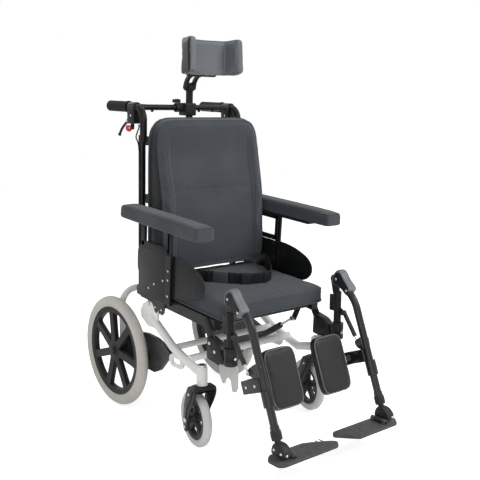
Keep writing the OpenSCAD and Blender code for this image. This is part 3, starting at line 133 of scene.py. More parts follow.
# Round sheet under the chair: it looks white to the camera and takes soft shadows
def buildFloor():
    turn = np.linspace(0, 2 * math.pi, 64, endpoint=False)
    points = np.stack([np.cos(turn), np.sin(turn), turn * 0], 1) * stage["radius"]
    mesh = bpy.data.meshes.new("floor")
    mesh.from_pydata(points.tolist(), [], [list(range(64))])
    floor = bpy.data.objects.new("floor", mesh)
    scene.collection.objects.link(floor)
    material = bpy.data.materials.new("paleFloor")
    material.use_nodes = True
    tree = material.node_tree
    tree.nodes.clear()
    diffuse = tree.nodes.new("ShaderNodeBsdfDiffuse")
    diffuse.inputs["Color"].default_value = (*stage["floor"], 1)
    glow = tree.nodes.new("ShaderNodeEmission")
    strength = tree.nodes.new("ShaderNodeMath")
    strength.operation = "MULTIPLY"
    strength.inputs[1].default_value = stage["floorGlow"]
    add = tree.nodes.new("ShaderNodeAddShader")
    out = tree.nodes.new("ShaderNodeOutputMaterial")
    tree.links.new(sightMask(tree), strength.inputs[0])
    tree.links.new(strength.outputs[0], glow.inputs["Strength"])
    tree.links.new(diffuse.outputs[0], add.inputs[0])
    tree.links.new(glow.outputs[0], add.inputs[1])
    tree.links.new(add.outputs[0], out.inputs["Surface"])
    mesh.materials.append(material)


buildCamera()
buildLamps()
buildWorld()
buildFloor()
print("camera, lamps and floor placed")


# Shader groups shared by the finishes
def newGroup(name, inputs, outputs):
    group = bpy.data.node_groups.new(name, "ShaderNodeTree")
    for label, value in inputs:
        socket = group.interface.new_socket(name=label, in_out="INPUT", socket_type="NodeSocketFloat")
        socket.default_value = value
    for label in outputs:
        group.interface.new_socket(name=label, in_out="OUTPUT", socket_type="NodeSocketFloat")
    return group, group.nodes.new("NodeGroupInput"), group.nodes.new("NodeGroupOutput")


def mathNode(tree, kind, first, second=None, clamp=False):
    node = tree.nodes.new("ShaderNodeMath")
    node.operation = kind
    node.use_clamp = clamp
    for socket, value in zip(node.inputs, (first, second)):
        if value is None:
            continue
        if isinstance(value, (int, float)):
            socket.default_value = value
        else:
            tree.links.new(value, socket)
    return node.outputs[0]


def noiseNode(tree, place, scale, detail=3.0, rough=0.5):
    node = tree.nodes.new("ShaderNodeTexNoise")
    node.inputs["Detail"].default_value = detail
    node.inputs["Roughness"].default_value = rough
    tree.links.new(place, node.inputs["Vector"])
    if isinstance(scale, (int, float)):
        node.inputs["Scale"].default_value = scale
    else:
        tree.links.new(scale, node.inputs["Scale"])
    return node.outputs["Fac"]


# Slow cloudy change of tone, from 0 to 1 about a half
def buildMottle():
    group, given, out = newGroup("mottle", [("Scale", 6.0), ("Contrast", 1.5)], ["Value"])
    place = group.nodes.new("ShaderNodeTexCoord").outputs["Object"]
    cloud = noiseNode(group, place, given.outputs["Scale"], 4.0)
    offset = mathNode(group, "SUBTRACT", cloud, 0.5)
    spread = mathNode(group, "MULTIPLY", offset, given.outputs["Contrast"])
    group.links.new(mathNode(group, "ADD", spread, 0.5, True), out.inputs["Value"])
    return group


# Pebbled height: round cells with creases between them, and a fine noise on top
def buildGrain():
    group, given, out = newGroup("grain", [("Scale", 400.0), ("Fine", 0.4)], ["Height"])
    place = group.nodes.new("ShaderNodeTexCoord").outputs["Object"]
    cells = group.nodes.new("ShaderNodeTexVoronoi")
    cells.feature = "F1"
    group.links.new(place, cells.inputs["Vector"])
    group.links.new(given.outputs["Scale"], cells.inputs["Scale"])
    round_ = mathNode(group, "SUBTRACT", 1.0, cells.outputs["Distance"])
    double = mathNode(group, "MULTIPLY", given.outputs["Scale"], 2.5)
    fine = mathNode(group, "MULTIPLY", noiseNode(group, place, double, 2.0), given.outputs["Fine"])
    group.links.new(mathNode(group, "ADD", round_, fine), out.inputs["Height"])
    return group


# Over-and-under threads: two crossed rows of round threads, drawn on the side that the cloth faces
def buildWeave():
    group, given, out = newGroup("weave", [("Pitch", 500.0)], ["Height", "Thread"])
    coords = group.nodes.new("ShaderNodeTexCoord")
    split = group.nodes.new("ShaderNodeSeparateXYZ")
    facing = group.nodes.new("ShaderNodeSeparateXYZ")
    group.links.new(coords.outputs["Object"], split.inputs[0])
    group.links.new(coords.outputs["Normal"], facing.inputs[0])
    upward = mathNode(group, "GREATER_THAN", mathNode(group, "ABSOLUTE", facing.outputs["Z"]), 0.7)
    sideways = mathNode(group, "GREATER_THAN", mathNode(group, "ABSOLUTE", facing.outputs["X"]), 0.72)
    across = group.nodes.new("ShaderNodeMix")
    group.links.new(sideways, across.inputs["Factor"])
    group.links.new(split.outputs["X"], across.inputs["A"])
    group.links.new(split.outputs["Y"], across.inputs["B"])
    along = group.nodes.new("ShaderNodeMix")
    group.links.new(upward, along.inputs["Factor"])
    group.links.new(split.outputs["Z"], along.inputs["A"])
    group.links.new(split.outputs["Y"], along.inputs["B"])
    rows = []
    for source in (across.outputs["Result"], along.outputs["Result"]):
        turns = mathNode(group, "MULTIPLY", source, given.outputs["Pitch"])
        rows.append(mathNode(group, "SINE", mathNode(group, "MULTIPLY", turns, 2 * math.pi)))
    cross = mathNode(group, "MULTIPLY", rows[0], rows[1])
    group.links.new(mathNode(group, "ADD", mathNode(group, "MULTIPLY", cross, 0.5), 0.5),
        out.inputs["Height"])
    group.links.new(mathNode(group, "GREATER_THAN", cross, 0.0), out.inputs["Thread"])
    return group


# Dust mask: what faces up, broken by noise, and more of it near the ground
def buildDust():
    group, given, out = newGroup("dust", [("Amount", 0.3)], ["Mask"])
    coords = group.nodes.new("ShaderNodeTexCoord")
    facing = group.nodes.new("ShaderNodeSeparateXYZ")
    place = group.nodes.new("ShaderNodeSeparateXYZ")
    group.links.new(coords.outputs["Normal"], facing.inputs[0])
    group.links.new(coords.outputs["Object"], place.inputs[0])
    up = mathNode(group, "MAXIMUM", facing.outputs["Z"], 0.0)
    low = mathNode(group, "SUBTRACT", 0.45, place.outputs["Z"])
    low = mathNode(group, "MAXIMUM", low, 0.0)
    both = mathNode(group, "ADD", mathNode(group, "MULTIPLY", up, 0.5), low)
    broken = mathNode(group, "MULTIPLY", both, noiseNode(group, coords.outputs["Object"], 60.0, 5.0))
    group.links.new(mathNode(group, "MULTIPLY", broken, given.outputs["Amount"], True), out.inputs["Mask"])
    return group


# Rub mask: convex edges where they are, and thin drawn-out scratches
def buildWear():
    group, given, out = newGroup("wear", [("Edges", 0.5), ("Scratches", 0.3)], ["Mask"])
    coords = group.nodes.new("ShaderNodeTexCoord")
    shape = group.nodes.new("ShaderNodeNewGeometry")
    lift = mathNode(group, "SUBTRACT", shape.outputs["Pointiness"], 0.53)
    edge = mathNode(group, "MULTIPLY", mathNode(group, "MULTIPLY", lift, 9.0, True), given.outputs["Edges"])
    edge = mathNode(group, "MULTIPLY", edge, noiseNode(group, coords.outputs["Object"], 35.0, 4.0))
    stretch = group.nodes.new("ShaderNodeMapping")
    stretch.inputs["Scale"].default_value = (160, 160, 12)
    stretch.inputs["Rotation"].default_value = (0.5, 0.3, 0.2)
    group.links.new(coords.outputs["Object"], stretch.inputs["Vector"])
    lines = mathNode(group, "GREATER_THAN", noiseNode(group, stretch.outputs["Vector"], 1.0, 2.0), 0.71)
    rubbed = mathNode(group, "MULTIPLY", lines, given.outputs["Scratches"])
    group.links.new(mathNode(group, "MAXIMUM", edge, rubbed), out.inputs["Mask"])
    return group


groups = {"mottle": buildMottle(), "grain": buildGrain(), "weave": buildWeave(), "dust": buildDust(),
    "wear": buildWear()}


# Finishes: tones are written as 0-255 screen values
finishes = {
    "frame_paint": {"tone": (236, 236, 233), "second": (229, 229, 227), "rough": (0.30, 0.42), "coat": 0.25,
        "dust": 0.25, "edges": 0.25, "rubbed": (150, 150, 150), "grain": (900, 0.00006), "scratches": 0.1},
    "black_metal": {"tone": (25, 26, 27), "second": (20, 21, 22), "rough": (0.26, 0.40),
        "grain": (1100, 0.00009), "dust": 0.15, "edges": 0.7, "rubbed": (92, 92, 94), "scratches": 0.25,
        "shine": 0.14},
    "black_plastic": {"tone": (31, 32, 34), "second": (26, 27, 28), "rough": (0.42, 0.58),
        "grain": (750, 0.00014), "dust": 0.15, "edges": 0.4, "rubbed": (100, 100, 100), "scratches": 0.2,
        "shine": 0.16},
    "grip_rubber": {"tone": (34, 34, 36), "second": (27, 27, 29), "rough": (0.6, 0.78),
        "grain": (850, 0.0002), "dust": 0.2, "edges": 0.3, "rubbed": (70, 70, 72), "scratches": 0.0,
        "shine": 0.2},
    "grey_tyre": {"tone": (205, 201, 195), "second": (196, 192, 187), "rough": (0.62, 0.8),
        "grain": (420, 0.0002), "dust": 0.8, "edges": 0.3, "rubbed": (140, 138, 134), "scratches": 0.15},
    "cover_plastic": {"tone": (112, 114, 116), "second": (100, 102, 105), "rough": (0.32, 0.44),
        "grain": (1100, 0.0001), "dust": 0.2, "edges": 0.5, "rubbed": (150, 150, 152), "scratches": 0.15},
    "plate_plastic": {"tone": (60, 62, 64), "second": (52, 54, 56), "rough": (0.45, 0.6),
        "grain": (650, 0.0002), "dust": 0.3, "edges": 0.5, "rubbed": (120, 120, 122), "scratches": 0.5,
        "shine": 0.18},
    # The side tones of these three cushion recipes are painted shade for their side walls
    "upholstery": {"tone": (67, 71, 76), "side": (36, 38, 40), "second": (58, 62, 67),
        "rough": (0.78, 0.92), "weave": (620, 0.00022), "dust": 0.12, "edges": 0.3,
        "rubbed": (96, 100, 104), "scratches": 0.0, "sheen": 0.15, "shine": 0.16},
    "headrest_cover": {"tone": (103, 107, 112), "side": (20, 21, 22), "second": (92, 96, 101),
        "rough": (0.36, 0.48), "grain": (520, 0.00022), "dust": 0.05, "edges": 0.3,
        "rubbed": (118, 120, 124), "scratches": 0.0, "shine": 0.24},
    "calf_cover": {"tone": (44, 44, 44), "side": (26, 27, 28), "second": (38, 38, 39), "rough": (0.38, 0.5),
        "grain": (560, 0.00022), "dust": 0.05, "edges": 0.35, "rubbed": (96, 95, 92), "scratches": 0.05,
        "shine": 0.18},
    "webbing": {"tone": (30, 31, 33), "second": (24, 25, 27), "rough": (0.7, 0.85), "weave": (420, 0.0003),
        "dust": 0.15, "edges": 0.4, "rubbed": (62, 62, 64), "scratches": 0.0, "shine": 0.12},
    "cable_sleeve": {"tone": (28, 28, 30), "second": (24, 24, 26), "rough": (0.45, 0.6),
        "grain": (900, 0.00008), "dust": 0.3, "edges": 0.0, "rubbed": (60, 60, 60), "scratches": 0.1},
    "board": {"tone": (46, 47, 49), "second": (38, 39, 41), "rough": (0.55, 0.7), "grain": (600, 0.0002),
        "dust": 0.3, "edges": 0.3, "rubbed": (80, 80, 82), "scratches": 0.3, "shine": 0.16},
    "red_latch": {"tone": (196, 40, 34), "second": (178, 32, 28), "rough": (0.34, 0.46),
        "grain": (900, 0.0001), "dust": 0.1, "edges": 0.4, "rubbed": (214, 110, 100), "scratches": 0.1},
    "bright_steel": {"tone": (190, 191, 192), "second": (170, 171, 173), "rough": (0.22, 0.36),
        "metal": 1.0, "grain": (1500, 0.00004), "dust": 0.2, "edges": 0.2, "rubbed": (210, 210, 210),
        "scratches": 0.3},
    "pale_tyre": {"tone": (212, 214, 216), "second": (203, 205, 208), "rough": (0.6, 0.78),
        "grain": (420, 0.0002), "dust": 0.5, "edges": 0.2, "rubbed": (150, 149, 147), "scratches": 0.1},
    "pale_plate": {"tone": (205, 205, 203), "second": (196, 196, 194), "rough": (0.36, 0.5),
        "grain": (900, 0.00008), "dust": 0.3, "edges": 0.4, "rubbed": (150, 150, 150), "scratches": 0.2},
    "wheel_black": {"tone": (30, 31, 32), "second": (25, 26, 27), "rough": (0.4, 0.55),
        "grain": (900, 0.0001), "dust": 0.12, "edges": 0.5, "rubbed": (80, 80, 82), "scratches": 0.15,
        "shine": 0.12},
    "leg_black": {"tone": (20, 21, 22), "second": (17, 18, 19), "rough": (0.26, 0.36),
        "grain": (1100, 0.00005), "dust": 0.08, "edges": 0.4, "rubbed": (84, 84, 86), "scratches": 0.15,
        "shine": 0.22, "coat": 0.25},
    # bore: near-black for the thin sheets laid on holes, painted shade
    "bore": {"tone": (9, 9, 10), "second": (7, 7, 8), "rough": (0.6, 0.8), "grain": (900, 0.00005),
        "dust": 0.1, "edges": 0.0, "rubbed": (40, 40, 42), "scratches": 0.0},
    "thread": {"tone": (52, 55, 58), "second": (46, 49, 52), "rough": (0.6, 0.75), "weave": (1500, 0.0001),
        "dust": 0.1, "edges": 0.0, "rubbed": (80, 82, 84), "scratches": 0.0},
    "piping": {"tone": (98, 97, 94), "second": (84, 83, 81), "rough": (0.34, 0.45), "grain": (700, 0.0001),
        "dust": 0.2, "edges": 0.2, "rubbed": (130, 128, 124), "scratches": 0.0},
}


def linear(tone):
    share = np.array(tone) / 255.0
    low = share / 12.92
    high = ((share + 0.055) / 1.055) ** 2.4
    return (*np.where(share <= 0.04045, low, high).tolist(), 1.0)


def placeGroup(tree, name, values):
    node = tree.nodes.new("ShaderNodeGroup")
    node.node_tree = groups[name]
    for label, value in values.items():
        node.inputs[label].default_value = value
    return node


def mixTone(tree, share, first, second):
    node = tree.nodes.new("ShaderNodeMix")
    node.data_type = "RGBA"
    tree.links.new(share, node.inputs[0])
    for socket, value in ((node.inputs[6], first), (node.inputs[7], second)):
        if isinstance(value, tuple):
            socket.default_value = value
        else:
            tree.links.new(value, socket)
    return node.outputs[2]


# One finish: two tones clouded together, rubbed places, dust, then roughness and a raised grain or weave
def makeFinish(name, recipe):
    material = bpy.data.materials.new(name)
    material.use_nodes = True
    tree = material.node_tree
    shader = tree.nodes["Principled BSDF"]
    cloud = placeGroup(tree, "mottle", {"Scale": recipe.get("cloud", 7.0), "Contrast": 2.2}).outputs[0]
    colour = mixTone(tree, cloud, linear(recipe["tone"]), linear(recipe["second"]))
    wear = placeGroup(tree, "wear", {"Edges": recipe["edges"], "Scratches": recipe["scratches"]}).outputs[0]
    colour = mixTone(tree, wear, colour, linear(recipe["rubbed"]))
    if "weave" in recipe:
        weave = placeGroup(tree, "weave", {"Pitch": recipe["weave"][0]})
        height, depth = weave.outputs["Height"], recipe["weave"][1]
        thread = mathNode(tree, "MULTIPLY", weave.outputs["Thread"], 0.22)
        colour = mixTone(tree, thread, colour, linear(recipe["second"]))
    else:
        grain = placeGroup(tree, "grain", {"Scale": recipe["grain"][0], "Fine": 0.35})
        height, depth = grain.outputs["Height"], recipe["grain"][1]
    # Painted shade: side walls marked on the mesh are darkened towards the side tone
    if "side" in recipe:
        shade = tree.nodes.new("ShaderNodeAttribute")
        shade.attribute_name = "sideCloth"
        colour = mixTone(tree, shade.outputs["Fac"], colour, linear(recipe["side"]))
    dust = placeGroup(tree, "dust", {"Amount": recipe["dust"]}).outputs[0]
    colour = mixTone(tree, dust, colour, linear((150, 146, 138)))
    tree.links.new(colour, shader.inputs["Base Color"])
    span = tree.nodes.new("ShaderNodeMapRange")
    span.inputs["To Min"].default_value = recipe["rough"][0]
    span.inputs["To Max"].default_value = recipe["rough"][1]
    tree.links.new(cloud, span.inputs["Value"])
    rough = mathNode(tree, "ADD", span.outputs[0], mathNode(tree, "MULTIPLY", dust, 0.4), True)
    tree.links.new(rough, shader.inputs["Roughness"])
    bump = tree.nodes.new("ShaderNodeBump")
    bump.inputs["Distance"].default_value = depth
    bump.inputs["Strength"].default_value = recipe.get("raised", 0.7)
    tree.links.new(height, bump.inputs["Height"])
    tree.links.new(bump.outputs[0], shader.inputs["Normal"])
    shader.inputs["Specular IOR Level"].default_value = recipe.get("shine", 0.28)
    shader.inputs["Metallic"].default_value = recipe.get("metal", 0.0)
    shader.inputs["Coat Weight"].default_value = recipe.get("coat", 0.0)
    shader.inputs["Sheen Weight"].default_value = recipe.get("sheen", 0.0)
    return material


materials = {name: makeFinish(name, recipe) for name, recipe in finishes.items()}
for part in frame["record"]["subparts"]:
    mesh = nodes[part["node"]].data
    mesh.materials.clear()
    mesh.materials.append(materials[part["material_slot"]])
print("finishes made:", len(materials))


# Shapes: every piece is worked out in metres, then placed as its body stands at rest
tilts = {"seat": (4.5, 0.190, 0.415), "back": (-2.2, 0.255, 0.450)}


# Turns points about a sideways line through (y, z)
def turned(points, angle, y, z):
    points = np.array(points, float)
    c, s = math.cos(math.radians(angle)), math.sin(math.radians(angle))
    dy, dz = points[..., 1] - y, points[..., 2] - z
    points[..., 1], points[..., 2] = y + dy * c - dz * s, z + dy * s + dz * c
    return points


def onSeat(points):
    return turned(points, *tilts["seat"])


def onBack(points):
    return onSeat(turned(points, *tilts["back"]))


def asDrawn(points):
    return np.array(points, float)


# Four-sided faces between neighbours of a grid; a closed direction also joins its last line to its first
def gridFaces(rows, columns, closeRows=False, closeColumns=True):
    r = np.arange(rows if closeRows else rows - 1)
    c = np.arange(columns if closeColumns else columns - 1)
    a, b = np.meshgrid(r, c, indexing="ij")
    a2, b2 = (a + 1) % rows, (b + 1) % columns
    corners = [a * columns + b, a * columns + b2, a2 * columns + b2, a2 * columns + b]
    return np.stack(corners, -1).reshape(-1, 4).tolist()


# A grid of points as a shell, its two ends closed with one face each
def shell(grid, closeRows=False, closeColumns=True, capped=True):
    rows, columns = grid.shape[:2]
    faces = gridFaces(rows, columns, closeRows, closeColumns)
    if capped and not closeRows:
        faces += [list(range(columns))[::-1], list(range((rows - 1) * columns, rows * columns))]
    return grid.reshape(-1, 3), faces


def joined(*shells):
    points, faces, base = [], [], 0
    for part, corners in shells:
        points.append(part)
        faces += [[i + base for i in face] for face in corners]
        base += len(part)
    return np.concatenate(points), faces


# Profile turned about a sideways axle: each profile point is (x, distance from the axle)
def turnedRound(profile, y, z, steps=96, closed=True):
    profile = np.array(profile, float)
    turn = np.linspace(0, 2 * math.pi, steps, endpoint=False)[None, :]
    x = np.repeat(profile[:, :1], steps, 1)
    r = profile[:, 1:2]
    grid = np.stack([x, y + r * np.cos(turn), z + r * np.sin(turn)], -1)
    return shell(grid, closeRows=closed, capped=not closed)


# Catmull-Rom curve through control points, read at even steps of its length
def smoothRoute(points, count):
    p = np.array(points, float)
    p = np.concatenate([2 * p[:1] - p[1:2], p, 2 * p[-1:] - p[-2:-1]])
    t = np.linspace(0, 1, 24, endpoint=False)[None, :, None]
    a, b, c, d = (p[i:len(p) - 3 + i, None, :] for i in range(4))
    curve = 0.5 * (2 * b + (c - a) * t + (2 * a - 5 * b + 4 * c - d) * t ** 2
        + (3 * b - a - 3 * c + d) * t ** 3)
    curve = np.concatenate([curve.reshape(-1, p.shape[1]), p[-2:-1]])
    gone = np.concatenate([[0], np.cumsum(np.linalg.norm(np.diff(curve, axis=0), axis=1))])
    want = np.linspace(0, gone[-1], count)
    return np.stack([np.interp(want, gone, curve[:, k]) for k in range(p.shape[1])], 1)


def circle(radius, steps=20):
    turn = np.linspace(0, 2 * math.pi, steps, endpoint=False)
    return np.stack([np.cos(turn), np.sin(turn)], 1) * radius


# Superellipse: cosine and sine raised to 2/power, so a high power is nearly square
def squircle(width, height, power, steps=32):
    turn = np.linspace(0, 2 * math.pi, steps, endpoint=False)
    bend = lambda v: np.sign(v) * np.abs(v) ** (2 / power)
    return np.stack([bend(np.cos(turn)) * width / 2, bend(np.sin(turn)) * height / 2], 1)


# Profile carried along a path: its first axis lies along the side vector, its second square to both
def swept(path, profile, side=(1.0, 0.0, 0.0), scale=None, closed=False):
    path = np.array(path, float)
    ahead = np.roll(path, -1, 0) - np.roll(path, 1, 0) if closed else np.gradient(path, axis=0)
    ahead /= np.linalg.norm(ahead, axis=1, keepdims=True)
    across = np.array(side, float)[None, :] - (ahead @ np.array(side, float))[:, None] * ahead
    across /= np.linalg.norm(across, axis=1, keepdims=True)
    over = np.cross(ahead, across)
    scale = np.ones((len(path), 2)) if scale is None else np.array(scale, float)
    grid = (path[:, None] + across[:, None] * (profile[None, :, :1] * scale[:, None, :1])
        + over[:, None] * (profile[None, :, 1:] * scale[:, None, 1:]))
    return shell(grid, closeRows=closed)


# Flat outline in (y, z) given thickness along x, with rounded rims
def plate(outline, x, thick, rim=0.0012):
    outline = np.array(outline, float)
    ahead = np.roll(outline, -1, 0) - np.roll(outline, 1, 0)
    ahead /= np.linalg.norm(ahead, axis=1, keepdims=True)
    area = np.sum(outline[:, 0] * np.roll(outline[:, 1], -1) - np.roll(outline[:, 0], -1) * outline[:, 1])
    inward = np.stack([-ahead[:, 1], ahead[:, 0]], 1) * (1 if area > 0 else -1)
    turn = np.radians([90, 60, 30, 0])
    depth = np.concatenate([rim * (1 - np.cos(turn)), rim * (1 - np.cos(turn[::-1]))])
    height = np.concatenate([x + rim * (1 - np.sin(turn)), x + thick - rim * (1 - np.sin(turn[::-1]))])
    flat = outline[None] + inward[None] * depth[:, None, None]
    grid = np.concatenate([np.broadcast_to(height[:, None, None], flat.shape[:2] + (1,)), flat], -1)
    return shell(grid)


# Corners of an outline rounded: each is cut at a distance and joined by a quarter-like curve
def rounded(corners, radius, steps=5):
    p = np.array(corners, float)
    radius = np.broadcast_to(np.array(radius, float), (len(p),))
    before, after = np.roll(p, 1, 0) - p, np.roll(p, -1, 0) - p
    la, lb = np.linalg.norm(before, axis=1), np.linalg.norm(after, axis=1)
    reach = np.minimum(radius, 0.49 * np.minimum(la, lb))[:, None]
    a, b = p + before / la[:, None] * reach, p + after / lb[:, None] * reach
    t = np.linspace(0, 1, steps)[None, :, None]
    curve = a[:, None] * (1 - t) ** 2 + p[:, None] * 2 * t * (1 - t) + b[:, None] * t ** 2
    return curve.reshape(-1, p.shape[1])


# Dome-headed screw whose shaft points along a direction
def screw(at, way, radius, high, place=asDrawn, steps=14):
    way = np.array(way, float) / np.linalg.norm(way)
    side = np.cross(way, [0.3, 0.5, 0.8])
    side /= np.linalg.norm(side)
    over = np.cross(way, side)
    rings = np.array([[1.0, -0.6], [1.0, 0.1], [0.93, 0.45], [0.72, 0.8], [0.42, 1.0], [0.38, 0.62],
        [0.3, 0.6]])
    turn = np.linspace(0, 2 * math.pi, steps, endpoint=False)
    rim = side[None] * np.cos(turn)[:, None] + over[None] * np.sin(turn)[:, None]
    grid = np.array(at, float) + rim[None] * rings[:, None, :1] * radius + way * rings[:, None, 1:] * high
    points, faces = shell(grid)
    return place(points), faces


def buildObject(name, points, faces, finish, sharp=35):
    mesh = bpy.data.meshes.new(name)
    mesh.from_pydata(np.asarray(points).tolist(), [], faces)
    work = bmesh.new()
    work.from_mesh(mesh)
    bmesh.ops.remove_doubles(work, verts=work.verts, dist=2e-6)
    bmesh.ops.recalc_face_normals(work, faces=work.faces)
    work.to_mesh(mesh)
    work.free()
    mesh.polygons.foreach_set("use_smooth", [True] * len(mesh.polygons))
    mesh.set_sharp_from_angle(angle=math.radians(sharp))
    mesh.materials.append(materials[finish])
    obj = bpy.data.objects.new(name, mesh)
    scene.collection.objects.link(obj)
    return obj


# A finished piece: it rides on a body, stands for the nodes named, and takes its finish from a slot
def piece(name, parts, finish, body, stands=(), sharp=35):
    points, faces = parts
    obj = buildObject(name, points, faces, finish, sharp)
    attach(obj, body)
    if stands:
        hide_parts(*stands)
    return obj


# Both sides: the left-hand shape as drawn on the side named left, mirrored for the right
sides = {"left": 1.0, "right": -1.0}


def toSide(parts, side):
    points, faces = parts
    return points * np.array([sides[side], 1, 1]), faces


# Cloth under pressure: the shape is remeshed into even squares, swells a little, and keeps what it gained
def puff(obj, voxel, limit, floorPlace=None, pressure=4.0, stiff=18.0):
    scene.frame_set(1)
    bpy.context.view_layer.objects.active = obj
    obj.select_set(True)
    remesh = obj.modifiers.new("even", "REMESH")
    remesh.mode = "VOXEL"
    remesh.voxel_size = voxel
    bpy.ops.object.modifier_apply(modifier="even")
    mesh = obj.data
    count = len(mesh.vertices)
    start = np.empty(count * 3)
    mesh.vertices.foreach_get("co", start)
    start = start.reshape(-1, 3)
    cloth = obj.modifiers.new("cloth", "CLOTH")
    cloth.settings.quality = 4
    cloth.settings.mass = 0.3
    cloth.settings.tension_stiffness = stiff
    cloth.settings.compression_stiffness = stiff
    cloth.settings.use_pressure = True
    cloth.settings.uniform_pressure_force = pressure
    cloth.settings.effector_weights.gravity = 0
    cloth.point_cache.frame_start = 1
    cloth.point_cache.frame_end = 20
    for step in range(1, 21):
        scene.frame_set(step)
    grown = np.empty(count * 3)
    obj.evaluated_get(bpy.context.evaluated_depsgraph_get()).data.vertices.foreach_get("co", grown)
    move = grown.reshape(-1, 3) - start
    far = np.linalg.norm(move, axis=1, keepdims=True)
    move *= np.minimum(1, limit / np.maximum(far, 1e-9))
    obj.modifiers.remove(cloth)
    scene.frame_set(1)
    if floorPlace is not None:
        move *= floorPlace(start)[:, None]
    mesh.vertices.foreach_set("co", (start + move).ravel())
    finer = obj.modifiers.new("finer", "SUBSURF")
    finer.levels = finer.render_levels = 1
    bpy.ops.object.modifier_apply(modifier="finer")
    obj.select_set(False)
    mesh.polygons.foreach_set("use_smooth", [True] * len(mesh.polygons))
    mesh.update()


# Reads and writes a mesh's points as one array
def pointsOf(obj):
    points = np.empty(len(obj.data.vertices) * 3)
    obj.data.vertices.foreach_get("co", points)
    return points.reshape(-1, 3)


def setPoints(obj, points):
    obj.data.vertices.foreach_set("co", np.ascontiguousarray(points).ravel())
    obj.data.update()


def normalsOf(obj):
    normals = np.empty(len(obj.data.vertices) * 3)
    obj.data.vertices.foreach_get("normal", normals)
    return normals.reshape(-1, 3)


def bodyOf(node):
    return nodes[node]["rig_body"]


def smoothStep(low, high, value):
    t = np.clip((value - low) / (high - low), 0, 1)
    return t * t * (3 - 2 * t)


# Stack of outlines: each station is (inset, height, share of the crown), the crown a low dome over the pad
def padStack(width, depth, stations, power, crown, draw=0.0, steps=96):
    turn = np.linspace(0, 2 * math.pi, steps, endpoint=False)
    bend = lambda v: np.sign(v) * np.abs(v) ** (2 / power)
    stations = np.array(stations, float)
    inset = stations[:, :1]
    pull = draw * np.sin(2 * turn)[None] ** 2 - draw
    x = (width / 2 - inset + pull) * bend(np.cos(turn))[None]
    y = (depth / 2 - inset + pull) * bend(np.sin(turn))[None]
    dome = crown * stations[:, 2:] * (1 - (2 * x / width) ** 2) * (1 - (2 * y / depth) ** 2)
    return np.stack([x, y, stations[:, 1:2] + dome], -1)


# Lowers a surface along its normals beside a line: depth times a bell curve of the distance to it
def groove(obj, distance, depth, width):
    points, normals = pointsOf(obj), normalsOf(obj)
    bell = depth * np.exp(-(distance(points) / width) ** 2)
    setPoints(obj, points - normals * bell[:, None])


# Seam cord laid on a cushion: each point of the route is brought to the nearest place of the cushion's skin
def seamCord(name, skin, route, radius, finish, body, place, closed=True):
    laid = [skin.closest_point_on_mesh(Vector(point))[1] for point in route]
    points, faces = swept(laid, circle(radius, 8), side=(0.31, 0.52, 0.8), closed=closed)
    return piece(name, (place(points), faces), finish, body)


# Share of painted shade at each point of the side walls, read by the finish, which darkens them towards the
# side tone
def paintSideShade(obj, values):
    mark = obj.data.attributes.new("sideCloth", "FLOAT", "POINT")
    mark.data.foreach_set("value", np.clip(values, 0, 1))


# Soft piece: its drawn shape is built and swells
def cushion(name, parts, finish, soft, floorPlace=None):
    points, faces = parts
    obj = buildObject(name, points, faces, finish)
    puff(obj, soft["voxel"], soft["swell"], floorPlace)
    return obj


# A swollen piece is placed, and stands for its node
def placeSoft(node, obj, place):
    setPoints(obj, place(pointsOf(obj)))
    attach(obj, bodyOf(node))
    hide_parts(node)


seatPad = {"width": 0.453, "depth": 0.430, "thick": 0.053, "front": -0.245, "base": 0.4640, "crown": 0.006,
    "voxel": 0.006, "swell": 0.006, "fill": 0.7}


def buildSeatCushion():
    pad, t = seatPad, seatPad["thick"]
    stations = [[0.05, 0, 0], [0.004, 0, 0], [0.001, 0.003, 0], [0, 0.009, 0], [0, t - 0.010, 0],
        [0.001, t - 0.005, 0.1], [0.005, t - 0.001, 0.4], [0.012, t, 1], [0.05, t, 1], [0.11, t, 1],
        [0.17, t, 1]]
    grid = padStack(pad["width"], pad["depth"], stations, 13, pad["crown"], 0.002)
    grid += np.array([0, pad["front"] + pad["depth"] / 2, pad["base"]])
    obj = cushion("seat_cushion_cover", shell(grid), "upholstery", pad,
        floorPlace=lambda start: 0.04 + 0.96 * smoothStep(pad["base"] + 0.002, pad["base"] + 0.02,
        start[:, 2]))
    groove(obj, lambda p: p[:, 2] - (pad["base"] + 0.012) + 100 * (p[:, 2] > pad["base"] + 0.03), 0.0016,
        0.003)
    ring = padStack(pad["width"], pad["depth"], [[0.0035, t - 0.003, 0.3]], 13, pad["crown"], 0.002, 160)[0]
    ring += np.array([0, pad["front"] + pad["depth"] / 2, pad["base"]])
    body = bodyOf("seat_cushion")
    seamCord("seat_cushion_piping", obj, ring, 0.0024, "upholstery", body, onSeat)
    low = padStack(pad["width"], pad["depth"], [[0, 0.012, 0]], 13, 0, 0.002, 160)[0]
    low += np.array([0, pad["front"] + pad["depth"] / 2, pad["base"]])
    seamCord("seat_cushion_lower_seam", obj, low, 0.0011, "thread", body, onSeat)
    placeSoft("seat_cushion", obj, onSeat)


backPad = {"width": 0.464, "height": 0.537, "base": 0.522, "behind": 0.1865, "low": 0.096, "top": 0.046,
    "recess": 0.014, "seam": 0.166, "cross": 0.292, "voxel": 0.006, "swell": 0.008, "fill": 0.75}


def backOutline(inset, steps=120):
    pad = backPad
    turn = np.linspace(0, 2 * math.pi, steps, endpoint=False)
    c, s = np.cos(turn), np.sin(turn)
    c = np.sign(c) * np.abs(c) ** 0.22
    s = np.sign(s) * np.abs(s) ** np.where(s > 0, 0.38, 0.2)
    half = pad["height"] / 2
    return np.stack([(pad["width"] / 2 - inset) * c,
        half + (half - inset) * s + np.where(s < 0, 0.007 * (1 - c * c), 0)], 1)


